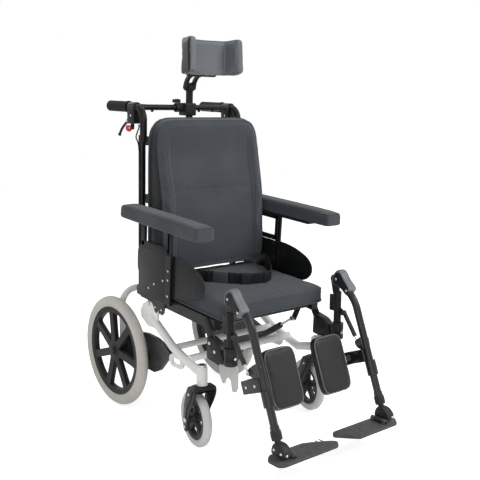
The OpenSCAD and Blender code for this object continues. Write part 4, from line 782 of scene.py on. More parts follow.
# Depth of the back cushion at a height, less the sunk middle panel between its two upright seams
def backDepth(x, z, sunk):
    pad = backPad
    depth = pad["low"] + (pad["top"] - pad["low"]) * smoothStep(0.34, 0.9, z / pad["height"])
    panel = 1 - smoothStep(pad["seam"] - 0.004, pad["seam"] + 0.030, np.abs(x))
    return depth - pad["recess"] * sunk * panel * (1 - smoothStep(0.72, 0.93, z / pad["height"]))


def buildBackCushion():
    pad = backPad
    stations = [[0.07, 0, 0], [0.006, 0, 0], [0.001, 0.05, 0], [0, 0.2, 0], [0, 0.45, 0], [0, 0.7, 0],
        [0.0006, 0.88, 0], [0.0025, 0.95, 0], [0.006, 0.985, 0], [0.012, 1, 0], [0.022, 1, 0],
        [0.042, 1, 0.5], [0.055, 1, 1], [0.07, 1, 1], [0.09, 1, 1], [0.11, 1, 1], [0.13, 1, 1],
        [0.16, 1, 1], [0.19, 1, 1], [0.215, 1, 1]]
    rings = []
    for inset, share, sunk in stations:
        flat = backOutline(inset)
        deep = share * backDepth(flat[:, 0], flat[:, 1], 1.0 if share == 1 else sunk)
        rings.append(np.stack([flat[:, 0], pad["behind"] - deep, pad["base"] + flat[:, 1]], 1))
    obj = cushion("back_cushion_cover", shell(np.array(rings)), "upholstery", pad,
        floorPlace=lambda start: 0.05 + 0.95 * smoothStep(0.004, 0.025, pad["behind"] - start[:, 1]))
    top = pad["base"] + pad["height"]
    inside = lambda p: (p[:, 2] < top - 0.075) & (p[:, 1] < pad["behind"] - 0.03)
    groove(obj, lambda p: np.where(inside(p), np.abs(p[:, 0]) - pad["seam"], 1.0), 0.0020, 0.0040)
    groove(obj, lambda p: np.where((np.abs(p[:, 0]) < 0.150) & inside(p),
        p[:, 2] - pad["base"] - pad["cross"], 1.0), 0.0012, 0.0040)
    for side in (-0.118, 0.118):
        spot = np.array([side, pad["base"] + pad["cross"]])
        groove(obj, lambda p: np.where(inside(p), np.linalg.norm(p[:, [0, 2]] - spot, axis=1), 1.0), 0.0022,
            0.012)
    groove(obj, lambda p: np.where(inside(p), np.abs(p[:, 2] - pad["base"] - 0.135), 1.0), 0.0012, 0.02)
    # Painted shade on the back cushion's outer side walls
    paintSideShade(obj, smoothStep(0.62, 0.85, np.abs(normalsOf(obj)[:, 0])) * smoothStep(0.2, 0.225,
        np.abs(pointsOf(obj)[:, 0])))
    body = bodyOf("back_cushion")
    edge = backOutline(0.011, 220)
    route = np.stack([edge[:, 0], pad["behind"] - 0.985 * backDepth(edge[:, 0], edge[:, 1], 0),
        pad["base"] + edge[:, 1]], 1)
    seamCord("back_cushion_edge_seam", obj, route, 0.0019, "upholstery", body, onBack)
    for side, sign in sides.items():
        rise = np.linspace(pad["base"] + 0.02, top - 0.085, 60)
        line = np.stack([rise * 0 + sign * pad["seam"], rise * 0 + pad["behind"] - 0.12, rise], 1)
        seamCord("back_cushion_seam_" + side, obj, line, 0.0009, "thread", body, onBack, closed=False)
    rear = backOutline(0.004, 200)
    route = np.stack([rear[:, 0], rear[:, 0] * 0 + pad["behind"] - 0.012, pad["base"] + rear[:, 1]], 1)
    seamCord("back_cushion_rear_seam", obj, route, 0.0012, "thread", body, onBack)
    placeSoft("back_cushion", obj, onBack)


armPad = {"width": 0.076, "length": 0.452, "thick": 0.043, "inner": 0.237, "front": -0.206, "base": 0.7195,
    "crown": 0.002, "voxel": 0.0045, "swell": 0.003, "fill": 0.9}


def buildArmPad(side):
    pad, t = armPad, armPad["thick"]
    stations = [[0.02, 0, 0], [0.004, 0, 0], [0.001, 0.003, 0], [0, 0.008, 0], [0.001, t - 0.009, 0],
        [0.003, t - 0.004, 0], [0.008, t - 0.0005, 0.5], [0.014, t, 1], [0.026, t, 1], [0.034, t, 1]]
    middle = np.array([pad["inner"] + pad["width"] / 2, pad["front"] + pad["length"] / 2, pad["base"]])
    grid = padStack(pad["width"], pad["length"], stations, 12, pad["crown"], 0.0, 160) + middle
    obj = cushion("arm_pad_cover_" + side, toSide(shell(grid), side), "upholstery", pad,
        floorPlace=lambda start: 0.05 + 0.95 * smoothStep(pad["base"] + 0.002, pad["base"] + 0.015,
        start[:, 2]))
    body = bodyOf("arm_pad_" + side)
    ring = padStack(pad["width"], pad["length"], [[0.0045, t - 0.003, 0]], 12, 0, 0.0, 200)[0] + middle
    seamCord("arm_pad_seam_" + side, obj, ring * np.array([sides[side], 1, 1]), 0.0011, "thread", body,
        onSeat)
    placeSoft("arm_pad_" + side, obj, onSeat)


headPad = {"flat": 0.0719, "corner": 0.020, "arm": 0.060, "turn": 80, "thick": 0.028, "high": 0.124,
    "base": 1.199, "behind": 0.192, "voxel": 0.0045, "swell": 0.003, "fill": 0.85}


# Middle line of the headrest: straight, round a corner, then straight forward along each side
def headLine(u):
    pad = headPad
    turn = math.radians(pad["turn"])
    s = np.abs(u) * (pad["flat"] + pad["corner"] * turn + pad["arm"])
    angle = turn * np.clip((s - pad["flat"]) / (pad["corner"] * turn), 0, 1)
    rest = np.maximum(0, s - pad["flat"] - pad["corner"] * turn)
    x = np.minimum(s, pad["flat"]) + pad["corner"] * np.sin(angle) + rest * math.cos(turn)
    y = pad["behind"] - pad["thick"] / 2 - pad["corner"] * (1 - np.cos(angle)) - rest * math.sin(turn)
    return np.stack([np.sign(u) * x, y, u * 0], -1)


def buildHeadrest():
    pad = headPad
    u = np.concatenate([[-1.0, -0.997, -0.985, -0.965], np.linspace(-0.94, 0.94, 60),
        [0.965, 0.985, 0.997, 1.0]])
    path = headLine(u)
    end = 1 - 0.55 * smoothStep(0.975, 1.0, np.abs(u)) ** 2
    tall = 1 - 0.10 * smoothStep(0.93, 1.0, np.abs(u)) ** 2
    path[:, 2] = pad["base"] + pad["high"] / 2 + 0.005 * u * u
    points, faces = swept(path, squircle(pad["thick"], pad["high"], 6.5, 48)[:, ::-1], side=(0, 0, 1),
        scale=np.stack([tall, end], 1))
    low = points[:, 2] < pad["base"] + pad["high"] * 0.5
    forward = smoothStep(0.135, 0.075, points[:, 1])
    share = (points[:, 2] - pad["base"]) / (pad["high"] * 0.5)
    points[:, 2] += np.where(low, 0.016 * forward * (1 - share), 0)
    obj = cushion("headrest_cover", (points, faces), "headrest_cover", pad)
    # Painted shade on the headrest's outer sides and back
    normals, outside = normalsOf(obj), np.sign(pointsOf(obj)[:, 0])
    paintSideShade(obj, smoothStep(0.45, 0.75, np.maximum(normals[:, 0] * outside, normals[:, 1])))
    body = bodyOf("headrest_pad")
    for name, level in (("upper", pad["high"] - 0.004), ("lower", 0.004)):
        line = headLine(np.linspace(-0.955, 0.955, 120))
        ahead = np.gradient(line, axis=0)
        ahead /= np.linalg.norm(ahead, axis=1, keepdims=True)
        out = np.stack([ahead[:, 1], -ahead[:, 0], ahead[:, 2]], 1)
        line = line + out * (pad["thick"] / 2 - 0.002)
        rise = 0.005 if name == "upper" else 0.014 * smoothStep(0.135, 0.085, line[:, 1])
        line[:, 2] = pad["base"] + level + rise
        seamCord("headrest_seam_" + name, obj, line, 0.0012, "headrest_cover", body, onBack, closed=False)
    placeSoft("headrest_pad", obj, onBack)


calfPad = {"width": 0.129, "height": 0.188, "thick": 0.024, "x": 0.1055, "y": -0.388, "z": 0.270,
    "turn": -20.80, "behind": 0.0135, "voxel": 0.004, "swell": 0.003, "fill": 0.85}


def onCalf(points):
    points = np.array(points, float)
    points[..., 1] += calfPad["y"]
    points[..., 2] += calfPad["z"]
    return turned(points, calfPad["turn"], calfPad["y"], calfPad["z"])


def buildCalfPad(side):
    pad, t = calfPad, calfPad["thick"]
    stations = [[0.02, 0, 0], [0.003, 0, 0], [0.0005, 0.003, 0], [0, 0.008, 0], [0, t - 0.007, 0],
        [0.001, t - 0.003, 0], [0.004, t - 0.0005, 0.4], [0.009, t, 1], [0.02, t, 1], [0.035, t, 1],
        [0.05, t, 1]]
    stand = lambda p: np.stack([p[..., 0] + pad["x"], pad["behind"] - p[..., 2], p[..., 1]], -1)
    grid = stand(padStack(pad["width"], pad["height"], stations, 5.5, 0.002, 0.0, 128))
    obj = cushion("calf_pad_cover_" + side, toSide(shell(grid), side), "calf_cover", pad,
        floorPlace=lambda start: 0.05 + 0.95 * smoothStep(0.001, 0.01, pad["behind"] - start[:, 1]))
    # Painted shade on the calf pad's side walls
    paintSideShade(obj, 1 - smoothStep(0.35, 0.6, np.abs(normalsOf(obj)[:, 1])))
    body = bodyOf("calf_pad_" + side)
    flip = np.array([sides[side], 1, 1])
    ring = stand(padStack(pad["width"], pad["height"], [[0.0025, t - 0.001, 0]], 5.5, 0, 0.0, 140)[0])
    seamCord("calf_pad_piping_" + side, obj, ring * flip, 0.0021, "piping", body, onCalf)
    ring = stand(padStack(pad["width"], pad["height"], [[0, 0.004, 0]], 5.5, 0, 0.0, 140)[0])
    seamCord("calf_pad_rear_seam_" + side, obj, ring * flip, 0.0014, "thread", body, onCalf)
    back = plate(rounded([[-0.055, -0.080], [0.055, -0.080], [0.055, 0.080], [-0.055, 0.080]], 0.02), 0,
        0.003)
    points = back[0][:, [1, 0, 2]]
    points = np.stack([points[:, 0] + pad["x"], pad["behind"] + points[:, 1], points[:, 2]], 1)
    arm = plate(rounded([[-0.030, -0.0115], [0.086, -0.0115], [0.086, 0.0115], [-0.030, 0.0115]], 0.006), 0,
        0.006)
    web = np.stack([arm[0][:, 1] + pad["x"], pad["behind"] + 0.003 + arm[0][:, 0], arm[0][:, 2]], 1)
    knuckle = turnedRound([[-0.0118, 0.0042], [-0.0118, 0.0075], [-0.0108, 0.0085], [0.0108, 0.0085],
        [0.0118, 0.0075], [0.0118, 0.0042]], 0, 0, 28)
    barrel = np.stack([knuckle[0][:, 1] + 0.184, knuckle[0][:, 2] + 0.026, knuckle[0][:, 0]], 1)
    parts = joined((points, back[1]), (web, arm[1]), (barrel, knuckle[1]))
    parts = toSide((onCalf(parts[0]), parts[1]), side)
    piece("calf_pad_bracket_" + side, parts, "black_metal", body)
    placeSoft("calf_pad_" + side, obj, onCalf)


buildSeatCushion()
buildBackCushion()
buildHeadrest()
for side in sides:
    buildArmPad(side)
    buildCalfPad(side)
print("cushions and pads made")


# Wheels: a web of spokes is worked out one sector at a time, each sector round its own window
def windowReach(alpha, centre, half, slope, outer, power):
    into = np.maximum(np.sin(alpha - slope), 1e-9)
    other = np.maximum(np.sin(-alpha - slope), 1e-9)
    gap = centre * math.sin(slope) - half
    first = np.where(np.sin(alpha - slope) > 1e-6, gap / into, 1e3)
    second = np.where(np.sin(-alpha - slope) > 1e-6, gap / other, 1e3)
    arc = -centre * np.cos(alpha) + np.sqrt(outer ** 2 - (centre * np.sin(alpha)) ** 2)
    if power is None:
        return np.minimum(np.minimum(first, second), arc)
    return (first ** -power + second ** -power + arc ** -power) ** (-1 / power)


# Spoked web between the axle and a rim: windows with rounded corners, their edges eased by a fillet
def spokedWeb(recipe, turn=0.0):
    slope = math.pi / recipe["count"]
    centre, rim = recipe["centre"], recipe["rim"]
    corner = math.atan2(rim * math.sin(slope), rim * math.cos(slope) - centre)
    side = np.concatenate([np.linspace(0, corner, 10), np.linspace(corner, math.pi, 26)[1:]])
    alpha = np.concatenate([side, -side[1:-1][::-1]])
    edge = windowReach(alpha, centre, 0.0, slope, rim, None)
    edge[np.isclose(np.abs(alpha), math.pi)] = centre
    edge[np.isclose(np.abs(alpha), corner)] = math.hypot(rim * math.cos(slope) - centre,
        rim * math.sin(slope))
    hole = windowReach(alpha, centre, recipe["spoke"] / 2, slope, recipe["window"], recipe["round"])
    x0, x1, ease = recipe["back"], recipe["front"], recipe["ease"]
    lean = recipe.get("lean", 0.0)
    rows = [(edge, x1), (np.minimum(edge * 0.999, hole + ease * 2.2), x1)]
    for angle in (90, 60, 30, 0):
        a = math.radians(angle)
        rows.append((hole + ease * (1 - math.cos(a)), x1 - ease * (1 - math.sin(a))))
    rows += [(hole - lean, (x0 + x1) / 2), (hole, x0 + ease), (hole + ease * 0.3, x0 + ease * 0.3),
        (hole + ease, x0), (edge, x0)]
    grid = []
    for reach, x in rows:
        u, v = centre + reach * np.cos(alpha), reach * np.sin(alpha)
        grid.append(np.stack([u * 0 + x, u, v], 1))
    grid = np.array(grid)
    count = len(alpha)
    faces = gridFaces(len(rows), count)
    last = (len(rows) - 1) * count
    ordered = sorted([i for i in range(count) if abs(alpha[i]) <= corner + 1e-6], key=lambda i: alpha[i])
    faces += [[a, b, last + b, last + a] for a, b in zip(ordered[:-1], ordered[1:])]
    parts = []
    for k in range(recipe["count"]):
        angle = turn + 2 * slope * k
        c, s = math.cos(angle), math.sin(angle)
        flat = grid.reshape(-1, 3)
        spun = np.stack([flat[:, 0], flat[:, 1] * c - flat[:, 2] * s, flat[:, 1] * s + flat[:, 2] * c], 1)
        parts.append((spun, faces))
    return joined(*parts)


def moved(parts, x, y, z):
    return parts[0] + np.array([x, y, z]), parts[1]


# The same shape with its axes named in another order
def reordered(parts, *order):
    return parts[0][:, list(order)], parts[1]


def mirrored(parts):
    return parts[0] * np.array([-1, 1, 1]), parts[1]


# Plain round rod along x between two places, closed at its ends
def rod(first, last, radius, y, z, steps):
    return turnedRound([[first, 0.0001], [first, radius], [last, radius], [last, 0.0001]], y, z, steps,
        closed=False)


# Tyre profile: a round section with a flatter tread and a foot in the rim; each groove on it is
# (angle, depth as a share, width in degrees)
tyreGrooves = [(33, 0.020, 3.5), (74, 0.012, 3.0)]


def tyreProfile(x, outer, half, high, foot):
    turn = np.radians(np.linspace(-128, 128, 45))
    across, up = half * np.sin(turn), half * np.cos(turn)
    stretch = (high - half) / half
    up = np.where(up > 0, up, up * stretch)
    tread = 1
    for angle, depth, width in tyreGrooves:
        tread = tread - depth * np.exp(-((np.abs(np.degrees(turn)) - angle) / width) ** 2)
    ring = np.stack([x + across * tread, outer - half + up * tread], 1)
    low = np.array([[x + foot, outer - high - 0.004], [x - foot, outer - high - 0.004]])
    return np.concatenate([ring, low])


# Rear wheel: each profile point is (x, distance from the axle)
rearWheel = {"x": 0.249, "y": 0.373, "z": 0.203, "radius": 0.203, "half": 0.020, "high": 0.0385,
    "foot": 0.0105, "turn": 5.7,
    "web": {"count": 7, "spoke": 0.029, "centre": 0.100, "rim": 0.158, "window": 0.1455, "round": 11,
        "front": 0.2595, "back": 0.2410, "ease": 0.0022, "lean": 0.0006},
    "rimProfile": [[0.2400, 0.1440], [0.2580, 0.1440], [0.2600, 0.1460], [0.2604, 0.1500], [0.2604, 0.1580],
        [0.2612, 0.1610], [0.2618, 0.1650], [0.2606, 0.1662], [0.2580, 0.1655], [0.2400, 0.1655],
        [0.2374, 0.1662], [0.2362, 0.1650], [0.2368, 0.1610], [0.2380, 0.1590], [0.2385, 0.1460]],
    "hubProfile": [[0.2280, 0.0070], [0.2280, 0.0310], [0.2290, 0.0328], [0.2310, 0.0330], [0.2420, 0.0330],
        [0.2430, 0.0300], [0.2600, 0.0300], [0.2606, 0.0260], [0.2612, 0.0210], [0.2614, 0.0070]],
    "capProfile": [[0.2600, 0.0001], [0.2600, 0.0155], [0.2640, 0.0155], [0.2662, 0.0143], [0.2674, 0.0115],
        [0.2680, 0.0070], [0.2682, 0.0001]],
    "valveProfile": [[0, 0.0001], [0, 0.0032], [0.012, 0.0032], [0.013, 0.0024], [0.016, 0.0024],
        [0.0165, 0.0001]],
    "valveAt": (0.2490, 0.030, 0.1445)}


def buildRearWheel(side):
    w = rearWheel
    body = bodyOf("rear_wheel_" + side)
    slope = 180 / w["web"]["count"]
    web = spokedWeb(w["web"], math.radians(90 - w["turn"] + slope))
    rim = turnedRound(w["rimProfile"], 0, 0, 128)
    hub = turnedRound(w["hubProfile"], 0, 0, 64)
    cap = turnedRound(w["capProfile"], 0, 0, 40, closed=False)
    parts = joined(*(toSide(moved(part, 0, w["y"], w["z"]), side) for part in (web, rim, hub, cap)))
    piece("rear_wheel_web_" + side, parts, "wheel_black", body, ["rear_wheel_" + side], 40)
    tyre = turnedRound(tyreProfile(w["x"], w["radius"], w["half"], w["high"], w["foot"]), w["y"], w["z"], 144)
    piece("rear_tyre_tread_" + side, toSide(tyre, side), "grey_tyre", body, ["rear_tyre_" + side])
    stem = turnedRound(w["valveProfile"], 0, 0, 16, closed=False)
    x, y, z = w["valveAt"]
    at = np.stack([stem[0][:, 1] + x, stem[0][:, 2] + w["y"] + y, w["z"] + z - stem[0][:, 0] - 0.0015], 1)
    piece("rear_valve_" + side, toSide((at, stem[1]), side), "black_plastic", body)


# Casters: the fork's stem stands at (x, y) and the whole is turned a little about it
casterPlace = {"x": 0.252, "y": -0.171, "turn": -9.0, "trail": 0.045, "axle": 0.094, "gap": 0.066}
casterWheel = {"radius": 0.094, "half": 0.015, "high": 0.0245, "foot": 0.009, "turn": 54,
    "web": {"count": 5, "spoke": 0.017, "centre": 0.040, "rim": 0.066, "window": 0.0575, "round": 9,
        "front": 0.0075, "back": -0.0075, "ease": 0.0015},
    "rimProfile": [[-0.0095, 0.0572], [0.0095, 0.0572], [0.0112, 0.0590], [0.0118, 0.0640], [0.0122, 0.0690],
        [0.0112, 0.0700], [-0.0112, 0.0700], [-0.0122, 0.0690], [-0.0118, 0.0640], [-0.0112, 0.0590]],
    "hubProfile": [[-0.0326, 0.0055], [-0.0326, 0.0100], [-0.0150, 0.0125], [-0.0110, 0.0165],
        [0.0110, 0.0165], [0.0150, 0.0125], [0.0326, 0.0100], [0.0326, 0.0055]]}


def atCaster(parts, side):
    c, s = math.cos(math.radians(casterPlace["turn"])), math.sin(math.radians(casterPlace["turn"]))
    p = parts[0]
    spun = np.stack([p[:, 0] * c - p[:, 1] * s + sides[side] * casterPlace["x"],
        p[:, 0] * s + p[:, 1] * c + casterPlace["y"], p[:, 2]], 1)
    return spun, parts[1]


def buildCaster(side):
    place, w = casterPlace, casterWheel
    body = bodyOf("caster_wheel_" + side)
    web = spokedWeb(w["web"], math.radians(w["turn"]))
    rim = turnedRound(w["rimProfile"], 0, 0, 96)
    hub = turnedRound(w["hubProfile"], 0, 0, 48)
    parts = joined(*(moved(part, 0, place["trail"], place["axle"]) for part in (web, rim, hub)))
    name = "caster_wheel_" + side
    piece("caster_wheel_web_" + side, atCaster(parts, side), "black_plastic", body, [name], sharp=40)
    profile = tyreProfile(0, w["radius"], w["half"], w["high"], w["foot"])
    tyre = atCaster(turnedRound(profile, place["trail"], place["axle"], 112), side)
    piece("caster_tyre_tread_" + side, tyre, "pale_tyre", body, ["caster_tyre_" + side])
    buildFork(side)


# Fork: the cheek and ridge outlines are (y, z), each hood station is (y, z, share of the width) and each
# screw is (y, z, radius)
fork = {"cheekThick": 0.006, "ridgeThick": 0.0028, "stem": 0.0085, "stemLow": 0.2030, "stemHigh": 0.084,
    "cheek": [[-0.024, 0.2165], [0.020, 0.2165], [0.034, 0.205], [0.043, 0.180], [0.058, 0.140],
        [0.062, 0.094], [0.0635, 0.060], [0.050, 0.0508], [0.036, 0.060], [0.030, 0.096], [0.016, 0.130],
        [-0.006, 0.160], [-0.019, 0.182], [-0.026, 0.200]],
    "ridge": [[-0.012, 0.206], [0.012, 0.206], [0.030, 0.178], [0.046, 0.140], [0.050, 0.098], [0.042, 0.098],
        [0.030, 0.138], [0.006, 0.172]],
    "hood": [(-0.0245, 0.2090, 0.92), (-0.0250, 0.2120, 0.96), (-0.0240, 0.2160, 1.0), (-0.0120, 0.2192, 1.0),
        (0.004, 0.2200, 1.0), (0.018, 0.2188, 1.0), (0.0265, 0.2140, 0.98), (0.029, 0.2090, 0.95)],
    "hoodUnder": 0.2060, "screws": [(0.045, 0.094, 0.0075), (0.052, 0.068, 0.0055), (0.014, 0.190, 0.0048)]}


# Two broad cheeks that narrow to the axle, a rounded hood across the crown and dome screws
def buildFork(side):
    place = casterPlace
    body = bodyOf("caster_fork_" + side)
    half = place["gap"] / 2
    outer = half + fork["cheekThick"]
    cheek = plate(rounded(fork["cheek"], 0.010, 6), half, fork["cheekThick"], 0.0022)
    turn = np.linspace(-1, 1, 25)
    hood = []
    for y, low, wide in fork["hood"]:
        x = turn * outer * wide
        z = low - 0.0085 * np.abs(turn) ** 5
        over = np.stack([x, x * 0 + y, z], 1)
        under = np.stack([x[::-1] * 0.97, x * 0 + y, z * 0 + fork["hoodUnder"] - 0.004 * np.abs(turn) ** 6],
            1)
        hood.append(np.concatenate([over, under]))
    stem = moved(reordered(rod(0.0, fork["stemHigh"], fork["stem"], 0, 0, 32), 1, 2, 0), 0, 0,
        fork["stemLow"])
    ridge = plate(rounded(fork["ridge"], 0.006, 5), outer - 0.0005, fork["ridgeThick"], 0.0012)
    parts = joined(cheek, mirrored(cheek), shell(np.array(hood)), stem, ridge, mirrored(ridge))
    piece("caster_fork_cheeks_" + side, atCaster(parts, side), "black_metal", body, ["caster_fork_" + side])
    bolts = []
    for way in (1, -1):
        for y, z, r in fork["screws"]:
            x = way * (outer + 0.0025 * (z > place["axle"] - 0.004))
            bolts.append(screw((x, y, z), (way, 0, 0), r, 0.0038))
    axle = rod(-outer - 0.003, outer + 0.003, 0.005, place["trail"], place["axle"], 24)
    parts = atCaster(joined(*bolts, axle), side)
    piece("caster_fork_screws_" + side, parts, "bright_steel", body)


for side in sides:
    buildRearWheel(side)
    buildCaster(side)
print("wheels and casters made")


# Legs, drawn from the side as (y, z): the tube leaves the knee cover, bends and runs down to the foot
leg = {"x": 0.225, "top": (-0.330, 0.502), "bend": (-0.378, 0.458), "bottom": (-0.495, 0.150),
    "radius": 0.0125, "start": 0.18, "collar": 0.0142, "lip": 0.0131, "clamp": 0.0178, "clampDown": 0.222,
    "screw": 0.0050,
    "clampStations": [(-0.0245, 0.94), (-0.023, 1), (-0.008, 1), (0.008, 1), (0.023, 1), (0.0245, 0.94)],
    "ear": [[0.170, 0.016], [0.218, 0.012], [0.218, 0.040], [0.170, 0.036]], "ears": (-0.0165, 0.0165),
    "block": [[0.208, -0.052], [0.242, -0.052], [0.242, 0.036], [0.208, 0.036]],
    "lug": [[-0.386, 0.300], [-0.372, 0.318], [-0.405, 0.345], [-0.430, 0.352], [-0.442, 0.318],
        [-0.425, 0.296]],
    "link": [[-0.262, 0.517], [-0.272, 0.530], [-0.300, 0.520], [-0.345, 0.494], [-0.340, 0.480],
        [-0.300, 0.496], [-0.270, 0.503]],
    "knee": (-0.275, 0.516), "kneeRod": (0.2195, 0.2445, 0.0050), "stops": (0.62, 0.97, 9), "foot": 0.0098}
legAngle = -20.80
legAhead = np.array(leg["bottom"]) - np.array(leg["bend"])
legAhead /= np.linalg.norm(legAhead)


def between(first, last, share):
    return tuple(a + (b - a) * share for a, b in zip(first, last))


# Points down the leg's line, at distances measured from a point on it
def downLeg(start, distances):
    return np.array([[leg["x"], *(np.array(start) + legAhead * t)] for t in distances])


# Round section with a flat groove down its front and back, as slotted leg tubes have
def groovedProfile(radius, depth=0.0010, steps=36):
    turn = np.linspace(0, 2 * math.pi, steps, endpoint=False)
    off = np.degrees(np.arccos(np.clip(np.abs(np.sin(turn)), 0, 1)))
    r = radius - depth * np.exp(-((off - 24) / 7.0) ** 2)
    return np.stack([r * np.cos(turn), r * np.sin(turn)], 1)


# Straight stretches joined by a bend that starts a set distance from each corner
def legLine(points, bend=0.026):
    p = [np.array(v) for v in points]
    out = [p[0]]
    for a, b, c in zip(p[:-2], p[1:-1], p[2:]):
        u, v = (a - b) / np.linalg.norm(a - b), (c - b) / np.linalg.norm(c - b)
        t = np.linspace(0, 1, 12)[:, None]
        out += list((b + u * bend) * (1 - t) ** 2 + 2 * b * t * (1 - t) + (b + v * bend) * t ** 2)
    out.append(p[-1])
    return np.array([[leg["x"], y, z] for y, z in out])


def evenScale(shares):
    return np.array([[share, share] for share in shares])


def buildLegTube(side):
    body = bodyOf("leg_tube_" + side)
    path = legLine([between(leg["top"], leg["bend"], leg["start"]), leg["bend"], leg["bottom"]])
    parts = [swept(path, groovedProfile(leg["radius"])),
        swept(downLeg(leg["bottom"], np.linspace(-0.028, 0.003, 4)), circle(leg["collar"], 32)),
        swept(downLeg(leg["bottom"], np.linspace(-0.002, 0.0045, 4)), circle(leg["lip"], 32))]
    clampAt = np.array(leg["bend"]) + legAhead * leg["clampDown"]
    places, shares = zip(*leg["clampStations"])
    parts.append(swept(downLeg(clampAt, places), circle(leg["clamp"], 36), scale=evenScale(shares)))
    for z in leg["ears"]:
        ear = reordered(plate(rounded(leg["ear"], 0.009, 5), z - 0.0045, 0.009, 0.0018), 1, 2, 0)
        parts.append((onCalf(ear[0]), ear[1]))
    block = reordered(plate(rounded(leg["block"], 0.007, 5), -0.0205, 0.041, 0.003), 1, 2, 0)
    parts.append((onCalf(block[0]), block[1]))
    parts.append(plate(rounded(leg["lug"], 0.012, 5), 0.2285, 0.0065, 0.0015))
    parts.append(plate(rounded(leg["link"], 0.008, 4), 0.2236, 0.005))
    parts.append(rod(*leg["kneeRod"], *leg["knee"], 24))
    parts = toSide(joined(*parts), side)
    piece("leg_tube_grooved_" + side, parts, "leg_black", body, ["leg_tube_" + side], 32)
    out = np.array([legAhead[1], -legAhead[0]])
    stops = []
    for share in np.linspace(*leg["stops"]):
        y, z = between(leg["bend"], leg["bottom"], share)
        at = (leg["x"], y + out[0] * 0.0124, z + out[1] * 0.0124)
        stops.append(screw(at, (0, out[0], out[1]), 0.0016, 0.0004, steps=8))
    lean = math.radians(legAngle)
    bolts = [screw(onCalf([0.2255, -0.052, z]), (0, -math.cos(lean), -math.sin(lean)), 0.0052, 0.0034)
        for z in (-0.011, 0.011)]
    bolts += [screw(onCalf([0.242, y, 0.0]), (1, 0, 0), leg["screw"], 0.0032) for y in (-0.030, 0.012)]
    bolts += [screw((0.2350, -0.385, 0.311), (1, 0, 0), leg["screw"], 0.0042)]
    bolts = toSide(joined(*bolts), side)
    piece("leg_tube_screws_" + side, bolts, "bright_steel", body)
    piece("leg_tube_stops_" + side, toSide(joined(*stops), side), "black_metal", body)


# Knee cover: its outline is (y, z), and each station is (x, how far the outline draws in there)
kneeCover = {"inner": 0.2148, "outer": 0.2492, "centre": (-0.318, 0.513), "shadeReach": 0.80,
    "shadeThick": 0.0018,
    "outline": [[-0.2765, 0.514], [-0.2785, 0.526], [-0.285, 0.538], [-0.294, 0.548], [-0.303, 0.5525],
        [-0.313, 0.551], [-0.323, 0.543], [-0.334, 0.528], [-0.362, 0.4975], [-0.3625, 0.490],
        [-0.349, 0.4725], [-0.342, 0.4725], [-0.326, 0.485], [-0.306, 0.494], [-0.289, 0.498],
        [-0.280, 0.505]],
    "edge": [(0, 0.0060), (0.0012, 0.0032), (0.0035, 0.0012), (0.0075, 0.0)],
    "seam": [(0.2306, 0.0), (0.2315, 0.0009), (0.2325, 0.0009), (0.2334, 0.0)],
    "screws": [(-0.298, 0.5215), (-0.346, 0.4890)]}


# Two rounded halves that meet on a seam, a dark sheet of painted shade on each side face and dome screws; the
# band's pale grey is partly its own colour and partly painted light on its top and front
def buildKneeCover(side):
    body = bodyOf("knee_cover_" + side)
    outline = np.array(kneeCover["outline"])
    line = smoothRoute(np.concatenate([outline, outline[:1]]), 97)[:-1]
    away = line - np.array(kneeCover["centre"])
    outward = away / np.linalg.norm(away, axis=1, keepdims=True)
    stations = [(kneeCover["inner"] + x, pull) for x, pull in kneeCover["edge"]] + kneeCover["seam"]
    stations += [(kneeCover["outer"] - x, pull) for x, pull in kneeCover["edge"][::-1]]
    rows = [np.concatenate([np.full((len(line), 1), x), line - outward * pull], 1) for x, pull in stations]
    cover = toSide(shell(np.array(rows)), side)
    piece("knee_cover_band_" + side, cover, "cover_plastic", body, ["knee_cover_" + side], sharp=40)
    # The dark sheets on the inner and outer faces are painted shade
    inset = (kneeCover["centre"] + away * kneeCover["shadeReach"])[::2]
    faces = (kneeCover["inner"] - 0.0007, kneeCover["outer"] - 0.0011)
    shadeSheets = toSide(joined(*(plate(inset, x, kneeCover["shadeThick"], 0.0006) for x in faces)), side)
    piece("knee_cover_painted_shade_" + side, shadeSheets, "black_plastic", body)
    bolts = []
    for y, z in kneeCover["screws"]:
        bolts.append(screw((kneeCover["outer"] + 0.0006, y, z), (1, 0, 0), 0.0046, 0.0026))
        bolts.append(screw((kneeCover["inner"] - 0.0006, y, z), (-1, 0, 0), 0.0046, 0.0026))
    bolts = toSide(joined(*bolts), side)
    piece("knee_cover_screws_" + side, bolts, "bright_steel", body)


# Foot: the clamp's outline is (y, z), and the footplate's hinge runs front to back at hingeAt (x, y, z)
footEnd = {"tube": (-0.120, 0.0325), "cap": (0.0300, 0.0368), "capShares": (1.12, 1.12, 1.0, 0.8, 0.4),
    "shoulder": 0.0168, "shoulderShares": (0.93, 1, 1, 1, 0.95), "clampX": 0.2085, "clampThick": 0.0310,
    "clamp": [[-0.5455, 0.0970], [-0.4865, 0.0970], [-0.4865, 0.1130], [-0.4960, 0.1335], [-0.5260, 0.1335],
        [-0.5455, 0.1160]],
    "knuckle": [[-0.0155, 0.0001], [-0.0155, 0.0066], [-0.0148, 0.0074], [0.0148, 0.0074], [0.0155, 0.0066],
        [0.0155, 0.0001]],
    "web": [[-0.5315, 0.0935], [-0.5005, 0.0935], [-0.5005, 0.1010], [-0.5315, 0.1010]],
    "hingeAt": (0.198, -0.516, 0.0974), "pinHalf": 0.0302, "pin": 0.0034}


